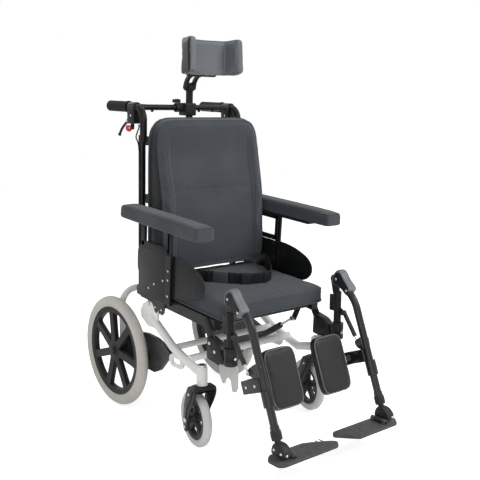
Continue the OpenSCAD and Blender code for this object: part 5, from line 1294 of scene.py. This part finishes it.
# Round tube, a clamp with rounded shoulders round it and the hinge knuckle of the footplate
def buildFoot(side):
    body = bodyOf("foot_tube_" + side)
    tube = swept(downLeg(leg["bottom"], np.linspace(*footEnd["tube"], 6)), circle(leg["foot"], 28))
    cap = swept(downLeg(leg["bottom"], np.linspace(*footEnd["cap"], 5)), circle(leg["foot"], 28),
        scale=evenScale(footEnd["capShares"]))
    clamp = plate(rounded(footEnd["clamp"], 0.011, 6), footEnd["clampX"], footEnd["clampThick"], 0.0040)
    shoulder = swept(downLeg(leg["bottom"], np.linspace(-0.016, 0.012, 5)), circle(footEnd["shoulder"], 32),
        scale=evenScale(footEnd["shoulderShares"]))
    barrel = turnedRound(footEnd["knuckle"], 0, 0, 28, closed=False)
    hinge = moved(reordered(barrel, 1, 0, 2), *footEnd["hingeAt"])
    web = plate(rounded(footEnd["web"], 0.003, 4), 0.1990, 0.0110, 0.0012)
    pin = moved(reordered(rod(-footEnd["pinHalf"], footEnd["pinHalf"], footEnd["pin"], 0, 0, 18), 1, 0, 2),
        *footEnd["hingeAt"])
    parts = toSide(joined(tube, cap, clamp, shoulder, hinge, web, pin), side)
    piece("foot_tube_clamp_" + side, parts, "black_plastic", body, ["foot_tube_" + side], 38)
    bolts = [screw((0.2395, -0.5310, 0.1090), (1, 0, 0), 0.0050, 0.0034),
        screw((0.2395, -0.5010, 0.1130), (1, 0, 0), 0.0050, 0.0034),
        screw((0.2290, -0.5455, 0.1060), (0, -1, 0), 0.0046, 0.0030)]
    bolts = toSide(joined(*bolts), side)
    piece("foot_clamp_screws_" + side, bolts, "bright_steel", body)


# Footplate: its outline is in shares of its width and depth, and the two boards differ at their toes
footplate = {"x": (0.008, 0.264), "y": -0.559, "deep": 0.082, "low": 0.0805, "thick": 0.009, "rimShare": 0.93,
    "shares": {"left": [[1, 0.34], [1, 0.72], [0.92, 1], [0.07, 1], [0, 0.75], [0.22, 0], [0.9, 0]],
        "right": [[1, 0.12], [1, 0.72], [0.9, 1], [0.38, 1], [0.07, 0.5], [0.01, 0.3], [0.09, 0], [0.93, 0]]},
    "knuckles": [(-0.5455, -0.5330), (-0.4990, -0.4865)],
    "knuckleFoot": [[0.1885, 0.0885], [0.2040, 0.0885], [0.2045, 0.0975], [0.1905, 0.0975]],
    "ribFirst": 0.050, "ribStep": 0.0155, "ribCount": 9, "ribHalf": 0.0028, "ribY": (-0.545, -0.492)}


# Bevelled board with a raised rim and ribbed tread, and a hinge knuckle at each end
def buildFootplate(side):
    body = bodyOf("footplate_" + side)
    recipe = footplate
    (x0, x1), y0 = recipe["x"], recipe["y"]
    shares = recipe["shares"][side]
    outline = rounded([[x0 + (x1 - x0) * u, y0 + recipe["deep"] * v] for u, v in shares], 0.010, 6)
    centre = outline.mean(0)
    board = plate(outline, recipe["low"], recipe["thick"], 0.0024)
    rim = plate(centre + (outline - centre) * recipe["rimShare"], 0.0893, 0.0008, 0.0004)
    parts = [reordered(board, 1, 2, 0), reordered(rim, 1, 2, 0)]
    for a, b in recipe["knuckles"]:
        ring = turnedRound([[a, 0.0037], [a, 0.0066], [a + 0.0008, 0.0075], [b - 0.0008, 0.0075], [b, 0.0066],
            [b, 0.0037]], 0, 0, 28)
        x, y, z = footEnd["hingeAt"]
        parts.append(moved(reordered(ring, 1, 0, 2), x, 0, z))
        parts.append(reordered(plate(rounded(recipe["knuckleFoot"], 0.002, 3), a, b - a, 0.001), 1, 0, 2))
    parts = toSide(joined(*parts), side)
    piece("footplate_board_" + side, parts, "plate_plastic", body, ["footplate_" + side], sharp=32)
    ribs = []
    half, (y0, y1) = recipe["ribHalf"], recipe["ribY"]
    for k in range(recipe["ribCount"]):
        x = recipe["ribFirst"] + recipe["ribStep"] * k
        shape = rounded([[x - half, y0], [x + half, y0], [x + half, y1], [x - half, y1]], 0.0022, 4)
        ribs.append(reordered(plate(shape, 0.0897, 0.0008, 0.0004), 1, 2, 0))
    ribs = toSide(joined(*ribs), side)
    piece("footplate_ribs_" + side, ribs, "plate_plastic", body)


for side in sides:
    buildLegTube(side)
    buildKneeCover(side)
    buildFoot(side)
    buildFootplate(side)
print("leg rests made")


# Lap belt: webbing along a listed route over the cushion, with a padded stretch, two adjusters and a buckle
belt = {"low": 0.5216, "wide": 0.044, "thick": 0.0024, "pad": (0.245, 0.335), "padThick": 0.0085,
    "adjusters": (0.222, 0.352, 0.56), "buckle": (0.405, 0.47), "buckleThick": 0.0135,
    "route": [(-0.214, 0.070), (-0.194, 0.054), (-0.160, 0.022), (-0.116, -0.014), (-0.070, -0.066),
        (-0.030, -0.098), (0.024, -0.118), (0.070, -0.112), (0.116, -0.072), (0.160, -0.008), (0.192, 0.048),
        (0.214, 0.070)]}


# Stretch of the belt between two shares of its length
def beltLine(first, last, count):
    flat = smoothRoute(belt["route"], 400)[:, :2]
    want = np.linspace(first, last, count) * (len(flat) - 1)
    line = np.stack([np.interp(want, np.arange(len(flat)), flat[:, k]) for k in (0, 1)], 1)
    return np.concatenate([line, np.full((count, 1), belt["low"] + belt["wide"] / 2)], 1)


def beltStretch(first, last, wide, thick, power=5, count=60, fade=0.0):
    share = np.linspace(0, 1, count)
    swell = np.ones(count) if fade == 0 else np.clip(np.minimum(share, 1 - share) / fade, 0.0, 1.0) ** 0.5
    scale = np.stack([0.86 + 0.14 * swell, 0.25 + 0.75 * swell], 1)
    return swept(beltLine(first, last, count), squircle(wide, thick, power, 36), (0, 0, 1), scale)


# Frame of the plastic fittings: short stretches that bulge out of the webbing, with ribs across them
def beltFitting(first, last, thick, ribs):
    parts = [beltStretch(first, last, belt["wide"] + 0.002, thick, 7, 16, 0.12)]
    for place in np.linspace(first + 0.007, last - 0.007, ribs):
        parts.append(beltStretch(place - 0.0022, place + 0.0022, belt["wide"] * 0.9, thick + 0.0022, 4, 8,
            0.3))
    return joined(*parts)


def seatPiece(name, parts, finish, body, stands=()):
    points, faces = joined(*parts)
    piece(name, (onSeat(points), faces), finish, body, stands)


def buildBelt():
    body = bodyOf("lap_belt")
    webbing = beltStretch(0.002, 0.998, belt["wide"], belt["thick"], 6, 260)
    seatPiece("lap_belt_webbing", [webbing], "webbing", body, ["lap_belt"])
    edges = []
    for edge in (-0.0175, 0.0175):
        for side in (-1, 1):
            route = beltLine(0.004, 0.996, 260)
            ahead = np.gradient(route, axis=0)
            across = np.stack([-ahead[:, 1], ahead[:, 0]], 1)
            across /= np.linalg.norm(across, axis=1, keepdims=True)
            route[:, :2] += across * side * belt["thick"] * 0.5
            route[:, 2] += edge
            edges.append(swept(route, circle(0.0005, 6), (0, 0, 1)))
    seatPiece("lap_belt_stitching", edges, "thread", body)
    pad = beltStretch(*belt["pad"], belt["wide"] + 0.001, belt["padThick"], 3.2, 60, 0.12)
    seatPiece("lap_belt_pad", [pad], "upholstery", body)
    fittings = [beltFitting(place - 0.011, place + 0.011, belt["padThick"], 2) for place in belt["adjusters"]]
    seatPiece("lap_belt_adjusters", fittings, "black_plastic", body)
    buckle = beltFitting(*belt["buckle"], belt["buckleThick"], 3)
    seatPiece("lap_belt_buckle", [buckle], "black_plastic", body, ["belt_buckle"])


# Side guards: a rear plate, a lobed front panel with a rolled edge, and the post and holes between them
guard = {"x": 0.232, "plateThick": 0.006, "panelThick": 0.004, "low": 0.465, "high": 0.156, "back": 0.051,
    "long": 0.188, "postFront": 0.021, "postWide": 0.014, "postDeep": 0.030, "panelLow": 0.479,
    "panelLong": 0.174, "panelHigh": 0.142, "rim": 0.0014, "holes": 12,
    "railScrews": (0.0901, 0.1285), "railScrewHigh": 0.416,
    "plateShares": [(0, -0.12), (0, 1), (0.93, 1), (1, 0.86), (1, 0.45), (0.88, 0.22), (0.88, -0.12)],
    "panelShares": [(0, 1), (0, 0), (-0.12, 0.02), (-0.5, 0.12), (-0.88, 0.28), (-1, 0.46), (-0.985, 0.64),
        (-0.86, 0.8), (-0.54, 0.94), (-0.2, 1)]}


def shared(shares, long, high, y, z):
    return np.array(shares) * [long, high] + [y, z]


def buildGuards():
    body = bodyOf("side_guards")
    rear = rounded(shared(guard["plateShares"], guard["long"], guard["high"], guard["back"], guard["low"]),
        0.012, 6)
    corners = shared(guard["panelShares"], guard["panelLong"], guard["panelHigh"], guard["postFront"],
        guard["panelLow"])
    lobe = rounded(corners, [0.004, 0.004] + [0.05] * (len(corners) - 2), 8)
    plates, posts, holes, heads = [], [], [], []
    for side in sides:
        outer = guard["x"] + guard["plateThick"]
        plates.append(toSide(plate(rear, guard["x"], guard["plateThick"], 0.0012), side))
        plates.append(toSide(plate(lobe, guard["x"], guard["panelThick"], guard["rim"]), side))
        edge = np.concatenate([np.full((len(lobe), 1), guard["x"] + guard["panelThick"] * 0.5), lobe], 1)
        plates.append(toSide(swept(edge, circle(0.0026, 10), (1, 0, 0), closed=True), side))
        path = np.array([[0, 0, guard["low"] - guard["postWide"]], [0, 0, guard["low"] + guard["high"]]])
        path = path[:1] + (path[1:] - path[:1]) * np.linspace(0, 1, 12)[:, None]
        middle = [guard["x"] + guard["postWide"] / 2, guard["postFront"] + guard["postDeep"] / 2, 0]
        profile = squircle(guard["postWide"], guard["postDeep"], 14, 40)
        posts.append(toSide(swept(path + middle, profile, (1, 0, 0)), side))
        # Each hole is a thin near-black sheet on the plate: painted shade where the hole shows dark
        for k in range(guard["holes"]):
            z = guard["low"] + guard["high"] * (0.06 + 0.88 * k / (guard["holes"] - 1))
            slot = rounded([(0.0615, z - 0.0034), (0.0650, z - 0.0034), (0.0650, z + 0.0034),
                (0.0615, z + 0.0034)], 0.0014, 4)
            holes.append(toSide(plate(slot, outer - 0.0002, 0.0005, 0.0002), side))
        places = [(guard["back"] + guard["long"] * a, guard["low"] + guard["high"] * b, outer)
            for a, b in ((0.14, 0.38), (0.42, 0.22), (0.6, 0.08))]
        front = guard["postFront"] + guard["postDeep"] / 2
        places += [(front, guard["low"] + guard["high"] * b, guard["x"] + guard["postWide"])
            for b in (0.1, 0.46, 0.66)]
        places += [(y, guard["railScrewHigh"], guard["x"]) for y in guard["railScrews"]]
        heads += [toSide(screw((x, y, z), (1, 0, 0), 0.0042, 0.0026), side) for y, z, x in places]
    for name, parts, finish, stands, slot in (
        ("side_guard_plates", plates, "black_metal", ["side_guards"], "black_metal"),
        ("side_guard_posts", posts, "black_metal", [], "black_metal"),
        ("side_guard_holes", holes, "bore", [], "black_metal"),
        ("side_guard_screws", heads, "bright_steel", ["seat_bolts"], "bright_steel")):
        seatPiece(name, parts, finish, body, stands)


buildBelt()
buildGuards()
print("belt and guards ready")


# Handles and headrest hardware, drawn on the upright back
hand = {"x": 0.207, "z": 1.087, "gripFront": 0.340, "gripEnd": 0.4715, "gripR": 0.0182, "ribs": 17,
    "barY": 0.288, "barR": 0.011, "barReach": 0.1895, "lugs": (-0.150, 0.052, 0.115), "lever": (0.342, 1.037),
    "leverLong": 0.066, "leverDrop": 0.053, "leverThick": 0.008, "latch": (0.318, 1.015), "latchLong": 0.026}


# Turned piece whose axle runs front to back: its profile is (y, distance from the axle)
def turnedAlong(profile, x, z, steps=48, closed=False):
    points, faces = turnedRound(profile, 0, 0, steps, closed)
    return np.stack([points[:, 1] + x, points[:, 0], points[:, 2] + z], 1), faces


# Upright piece with a level outline (x, y): a plate laid on its side
def upright(outline, z, high, rim):
    points, faces = plate(outline, z, high, rim)
    return np.stack([points[:, 1], points[:, 2], points[:, 0]], 1), faces


def backPiece(name, parts, finish, node=None, body=None):
    points, faces = joined(*parts)
    stands = [] if node is None else [node]
    piece(name, (onBack(points), faces), finish, body or bodyOf(node), stands)


def buildGrips():
    y = np.linspace(hand["gripFront"] + 0.010, hand["gripEnd"] - 0.010, hand["ribs"] * 6)
    wave = 0.0007 * np.cos(2 * math.pi * hand["ribs"] * (y - y[0]) / (y[-1] - y[0]))
    front, end, r = hand["gripFront"], hand["gripEnd"], hand["gripR"]
    profile = [(front, 0.0128), (front, 0.0192), (front + 0.0015, 0.0207), (front + 0.0045, 0.0207),
        (front + 0.007, 0.0185)]
    profile += list(zip(y, r + wave))
    profile += [(end - 0.005, r + 0.0008), (end - 0.0015, r - 0.001), (end, r - 0.006), (end, 0.004)]
    grips = [toSide(turnedAlong(profile, hand["x"], hand["z"]), side) for side in sides]
    backPiece("push_grip_sleeves", grips, "grip_rubber", "push_grips")


def buildPushBar():
    reach, r = hand["barReach"], hand["barR"]
    profile = [(-reach, 0.006), (-reach, r), (-reach + 0.016, r), (-reach + 0.0165, r - 0.0007),
        (reach - 0.0165, r - 0.0007), (reach - 0.016, r), (reach, r), (reach, 0.006)]
    parts = [turnedRound(profile, hand["barY"], hand["z"], 40, False)]
    for x in hand["lugs"]:
        lug = rounded([(hand["barY"] - 0.010, hand["z"] - 0.0158), (hand["barY"] + 0.002, hand["z"] - 0.0158),
            (hand["barY"] + 0.002, hand["z"] - 0.006), (hand["barY"] - 0.010, hand["z"] - 0.006)], 0.003)
        parts.append(plate(lug, x, 0.005, 0.0008))
    backPiece("push_bar_tube", parts, "black_metal", "push_bar")


def buildLevers(side):
    x, (y, z), thick = hand["x"], hand["lever"], hand["leverThick"]
    bends = shared([(0, 0), (0.3, -0.15), (0.73, -0.56), (1, -1)], hand["leverLong"], hand["leverDrop"], y, z)
    route = smoothRoute(np.concatenate([np.full((4, 1), x), bends], 1), 60)
    share = np.linspace(0, 1, 60)
    bulb = 1 + 0.55 * np.exp(-((share - 0.965) / 0.03) ** 2)
    width = (1 + 0.5 * smoothStep(0.25, 0.0, share)) * bulb * np.where(share > 0.995, 0.75, 1)
    blade = swept(route, squircle(thick, thick * 1.05, 3.2, 28),
        scale=np.stack([np.minimum(bulb, 1.3), width], 1))
    eye = turnedRound([(x - 0.0038, 0.0032), (x - 0.0038, 0.0062), (x - 0.0030, 0.0070), (x + 0.0030, 0.0070),
        (x + 0.0038, 0.0062), (x + 0.0038, 0.0032)], y, z, 36)
    node = "brake_lever_" + side
    backPiece("hand_lever_" + side, [toSide(blade, side), toSide(eye, side)], "black_plastic", node)
    y, z = hand["latch"]
    corners = np.array([(-0.2, 0.4), (1, 0.4), (1.15, -0.3), (0.5, -0.75), (-0.1, -0.55)])
    corners = corners * [hand["latchLong"], hand["latchLong"] * 0.8] + [y, z]
    shape = plate(rounded(corners, 0.008, 7), x + 0.0043, thick * 0.95, 0.0018)
    rib = plate(rounded(corners * 0.6 + np.mean(corners, 0) * 0.4, 0.006, 6), x + 0.0043 + thick * 0.9,
        0.0012, 0.0006)
    node = "brake_latch_" + side
    backPiece("parking_latch_" + side, [toSide(shape, side), toSide(rib, side)], "red_latch", node)


def buildLeverBrackets():
    parts, heads = [], []
    x, z = hand["x"], hand["z"]
    for side in sides:
        block = rounded([(0.2845, z + 0.0135), (0.2845, 1.034), (0.292, 1.0295), (0.3295, 1.0295),
            (0.3295, z + 0.0135)], [0.008, 0.006, 0.006, 0.006, 0.008], 6)
        parts.append(toSide(plate(block, x - 0.0160, 0.032, 0.0035), side))
        collar = [(0.2850, 0.0128), (0.2850, 0.0160), (0.2865, 0.0172), (0.3275, 0.0172), (0.3290, 0.0160),
            (0.3290, 0.0128)]
        parts.append(toSide(turnedAlong(collar, x, z), side))
        for place in (-0.0083, 0.0043):
            cheek = rounded([(0.312, 1.0452), (0.312, 1.0288), (0.343, 1.0288), (0.3502, 1.037),
                (0.343, 1.0452)], [0.002, 0.002, 0.007, 0.009, 0.007], 6)
            parts.append(toSide(plate(cheek, x + place, 0.004, 0.0008), side))
        tongue = rounded([(0.3115, 1.032), (0.3115, 1.0085), (0.3245, 1.0085), (0.3245, 1.032)],
            [0.001, 0.006, 0.006, 0.001], 5)
        parts.append(toSide(plate(tongue, x - 0.004, 0.008, 0.001), side))
        heads.append(toSide(screw((x + 0.0083, 0.342, 1.037), (1, 0, 0), 0.0042, 0.0022), side))
        heads.append(toSide(screw((x + 0.0128, 0.318, 1.015), (1, 0, 0), 0.0036, 0.0018), side))
        heads.append(toSide(screw((x + 0.0160, 0.305, 1.058), (1, 0, 0), 0.0040, 0.0022), side))
        heads.append(toSide(screw((x - 0.0160, 0.305, 1.058), (-1, 0, 0), 0.0040, 0.0022), side))
    backPiece("lever_bracket_blocks", parts, "black_metal", "lever_brackets")
    backPiece("lever_bracket_screws", heads, "bright_steel", None, bodyOf("lever_brackets"))


def buildHeadGear():
    z = hand["z"]
    block = rounded([(0.2545, 1.0590), (0.3035, 1.0590), (0.3035, 1.1040), (0.2545, 1.1040)], 0.006)
    barrel = [(-0.048, 0.0125), (-0.048, 0.0150), (-0.0465, 0.0163), (-0.036, 0.0163), (-0.0355, 0.0150),
        (-0.0335, 0.0150), (-0.033, 0.0163), (-0.0225, 0.0163), (-0.0225, 0.0125)]
    parts = [plate(block, -0.022, 0.044, 0.003), turnedRound(barrel, hand["barY"], z, 44)]
    for x in (-0.014, 0.014):
        parts.append(screw((x, 0.3035, 1.068), (0, 1, 0), 0.0042, 0.003))
    backPiece("headrest_clamp_block", parts, "black_plastic", "headrest_clamp")
    turn = np.linspace(0, 2 * math.pi, 80, endpoint=False)
    reach = 0.0138 + 0.0022 * np.cos(5 * turn)
    star = np.stack([-0.041 + reach * np.cos(turn), hand["barY"] + reach * np.sin(turn)], 1)
    cap = np.stack([-0.041 + 0.0068 * np.cos(turn), hand["barY"] + 0.0068 * np.sin(turn)], 1)
    low = z + 0.0168
    parts = [upright(star, low, 0.0128, 0.003), upright(cap, low + 0.0120, 0.0020, 0.001)]
    backPiece("headrest_knob_grip", parts, "black_plastic", "headrest_knob")
    path = np.stack([np.zeros(30), np.full(30, 0.268), np.linspace(0.985, 1.147, 30)], 1)
    post = swept(path, squircle(0.024, 0.012, 12, 40))
    eye = turnedRound([(-0.0118, 0.0074), (-0.0118, 0.0155), (-0.0105, 0.0168), (0.0105, 0.0168),
        (0.0118, 0.0155), (0.0118, 0.0074)], 0.268, 1.160, 48)
    backPiece("headrest_post_bar", [post, eye], "black_metal", "headrest_post")
    arm = smoothRoute([(0.268, 1.160), (0.262, 1.178), (0.247, 1.196), (0.226, 1.206), (0.206, 1.211)], 50)
    ahead = np.gradient(arm, axis=0)
    ahead /= np.linalg.norm(ahead, axis=1, keepdims=True)
    across = np.stack([-ahead[:, 1], ahead[:, 0]], 1)
    half = 0.0112 - 0.0030 * np.sin(np.linspace(0, math.pi, len(arm)))[:, None]
    turn = np.radians(np.linspace(-80, 80, 12))[:, None]
    tip = arm[0] + half[0] * (across[0] * np.sin(turn) - ahead[0] * np.cos(turn))
    outline = np.concatenate([arm + across * half, (arm - across * half)[::-1], tip])
    parts = [plate(outline, x, 0.0092, 0.0015) for x in (-0.0218, 0.0126)]
    web = rounded([(-0.066, 1.1965), (0.066, 1.1965), (0.066, 1.2605), (-0.066, 1.2605)], 0.012)
    flat = plate(web, 0.1948, 0.0042, 0.001)
    parts.append(reordered(flat, 1, 0, 2))
    pin = [(-0.0220, 0.002), (-0.0235, 0.0052), (-0.0222, 0.0068), (0.0222, 0.0068), (0.0235, 0.0052),
        (0.0220, 0.002)]
    parts.append(turnedRound(pin, 0.268, 1.160, 36, False))
    backPiece("headrest_yoke_arms", parts, "black_metal", "headrest_yoke")


buildGrips()
buildPushBar()
buildLeverBrackets()
buildHeadGear()
for side in sides:
    buildLevers(side)
print("handles and headrest hardware ready")


# Arm posts: a holed tongue and a windowed plate under each arm pad
armPost = {"x": 0.2355, "inner": 0.232, "thick": 0.0070, "plateThick": 0.0105, "front": 0.0245,
    "deep": 0.0235, "low": 0.505, "plateLow": 0.623, "top": 0.7185, "rear": 0.209, "bar": 0.017,
    "strut": 0.020,
    "holes": 8, "padOuter": 0.281, "padFront": -0.1176, "padRear": 0.1988, "padThick": 0.006}


def box(y0, z0, y1, z1, radius=0.003):
    return rounded([(y0, z0), (y1, z0), (y1, z1), (y0, z1)], radius)


def buildArmPost(side):
    post = armPost
    node, rear, low = "arm_post_" + side, post["rear"], post["plateLow"]
    front = post["front"] + post["deep"]
    parts = [plate(box(post["front"], post["low"], front, post["top"]), post["x"], post["thick"], 0.0008),
        plate(box(front - 0.010, low, rear, low + post["bar"]), post["inner"], post["plateThick"], 0.0012),
        plate(box(front - 0.010, post["top"] - post["bar"], rear, post["top"]), post["inner"],
        post["plateThick"], 0.0012),
        plate(box(rear - post["strut"], low, rear, post["top"]), post["inner"], post["plateThick"], 0.0012),
        plate(box(front - 0.012, low, front + 0.004, post["top"]), post["inner"], post["plateThick"], 0.0012)]
    rest = box(post["padFront"], post["top"] - post["padThick"], post["padRear"], post["top"], 0.002)
    parts.append(plate(rest, post["inner"] + 0.003, post["padOuter"] - post["inner"] - 0.003, 0.0008))
    body = bodyOf(node)
    seatPiece("arm_post_bar_" + side, [toSide(part, side) for part in parts], "black_metal", body, [node])
    holes = []
    # Each hole is a thin near-black sheet on the plate: painted shade where the hole shows dark
    outer = post["inner"] + post["plateThick"]
    for k in range(post["holes"]):
        z = low + 0.006 + (post["top"] - low - 0.014) * k / (post["holes"] - 1)
        slot = box(front - 0.0035, z - 0.0028, front - 0.0002, z + 0.0028, 0.0012)
        holes.append(toSide(plate(slot, outer - 0.0002, 0.0005, 0.0002), side))
    seatPiece("arm_post_holes_" + side, holes, "bore", body)


# Upright turned piece: its profile is (height, distance from the axle)
def turnedUpright(profile, x, y, steps=48, closed=True):
    points, faces = turnedRound(profile, 0, 0, steps, closed)
    return np.stack([points[:, 1] + x, points[:, 2] + y, points[:, 0]], 1), faces


# Leg receivers: a forged arm with its sleeve and strap on each side, and the pale slotted plate beside it
receiver = {"x": 0.232, "y": -0.292, "z": 0.311, "wide": 0.032, "long": 0.092, "high": 0.074, "sleeve": 0.022,
    "sleeveHigh": 0.048, "bore": 0.0135, "paleLong": 0.100, "paleHigh": 0.082, "paleThick": 0.006,
    "shares": [(1.1, 0.98), (0.44, 0.78), (0.14, 0), (0.6, -0.1), (1.14, 0)],
    "paleShares": [(0, 0.08), (0, 0.9), (0.3, 1), (0.9, 1), (0.9, 0.4), (0.74, 0.05), (0.64, 0.05),
        (0.56, 0.36), (0.34, 0.36), (0.26, -0.12), (0.1, -0.12)]}


def buildReceivers():
    r = receiver
    body = bodyOf("leg_receivers")
    dark, pale, heads = [], [], []
    arm = rounded(shared(r["shares"], r["long"], r["high"], r["y"], r["z"]),
        [0.006, 0.022, 0.010, 0.014, 0.008], 7)
    sleeve = [(r["z"], r["bore"]), (r["z"], r["sleeve"] - 0.002), (r["z"] + 0.002, r["sleeve"]),
        (r["z"] + 0.016, r["sleeve"]), (r["z"] + 0.0165, r["sleeve"] - 0.0012),
        (r["z"] + 0.031, r["sleeve"] - 0.0012), (r["z"] + 0.0315, r["sleeve"]),
        (r["z"] + r["sleeveHigh"] - 0.002, r["sleeve"]),
        (r["z"] + r["sleeveHigh"], r["sleeve"] - 0.002), (r["z"] + r["sleeveHigh"], r["bore"])]
    foot, top = np.array([r["y"] + r["long"], r["z"] + r["high"] * 0.7]), np.array([-0.168, 0.4184])
    alongStay = (top - foot) / np.linalg.norm(top - foot)
    turn = np.radians(np.linspace(-90, 90, 10))[:, None]
    acrossStay = np.array([-alongStay[1], alongStay[0]])
    strap = np.concatenate([top + 0.016 * (alongStay * np.cos(turn) + acrossStay * np.sin(turn)),
        foot + 0.016 * (-alongStay * np.cos(turn) - acrossStay * np.sin(turn))])
    shape = shared(r["paleShares"], r["paleLong"], r["paleHigh"], r["y"] - r["wide"] / 3,
        r["z"] - r["paleHigh"])
    shape = rounded(shape, [0.010, 0.012, 0.02, 0.012, 0.012, 0.005, 0.005, 0.01, 0.01, 0.005, 0.005], 6)
    inner = r["x"] - r["wide"] / 2
    for side in sides:
        dark.append(toSide(plate(arm, inner, r["wide"], 0.004), side))
        dark.append(toSide(turnedUpright(sleeve, r["x"], r["y"]), side))
        dark.append(toSide(plate(strap, 0.228, 0.006, 0.0012), side))
        pale.append(toSide(plate(shape, inner - r["paleThick"], r["paleThick"], 0.0012), side))
        spots = [(inner + r["wide"], r["y"] + 0.062, r["z"] + 0.030),
            (inner + r["wide"], r["y"] + 0.088, r["z"] + 0.052)]
        heads += [toSide(screw(spot, (1, 0, 0), 0.0058, 0.0035), side) for spot in spots]
        heads.append(toSide(screw((r["x"], r["y"] - r["sleeve"], r["z"] + 0.024), (0, -1, 0), 0.0050,
            0.0032), side))
    piece("leg_receiver_arms", joined(*dark), "black_metal", body, ["leg_receivers"])
    piece("leg_receiver_plates", joined(*pale), "pale_plate", body)
    piece("leg_receiver_screws", joined(*heads), "bright_steel", body)


for side in sides:
    buildArmPost(side)
buildReceivers()
print("arm posts and receivers ready")


print("pieces ready")
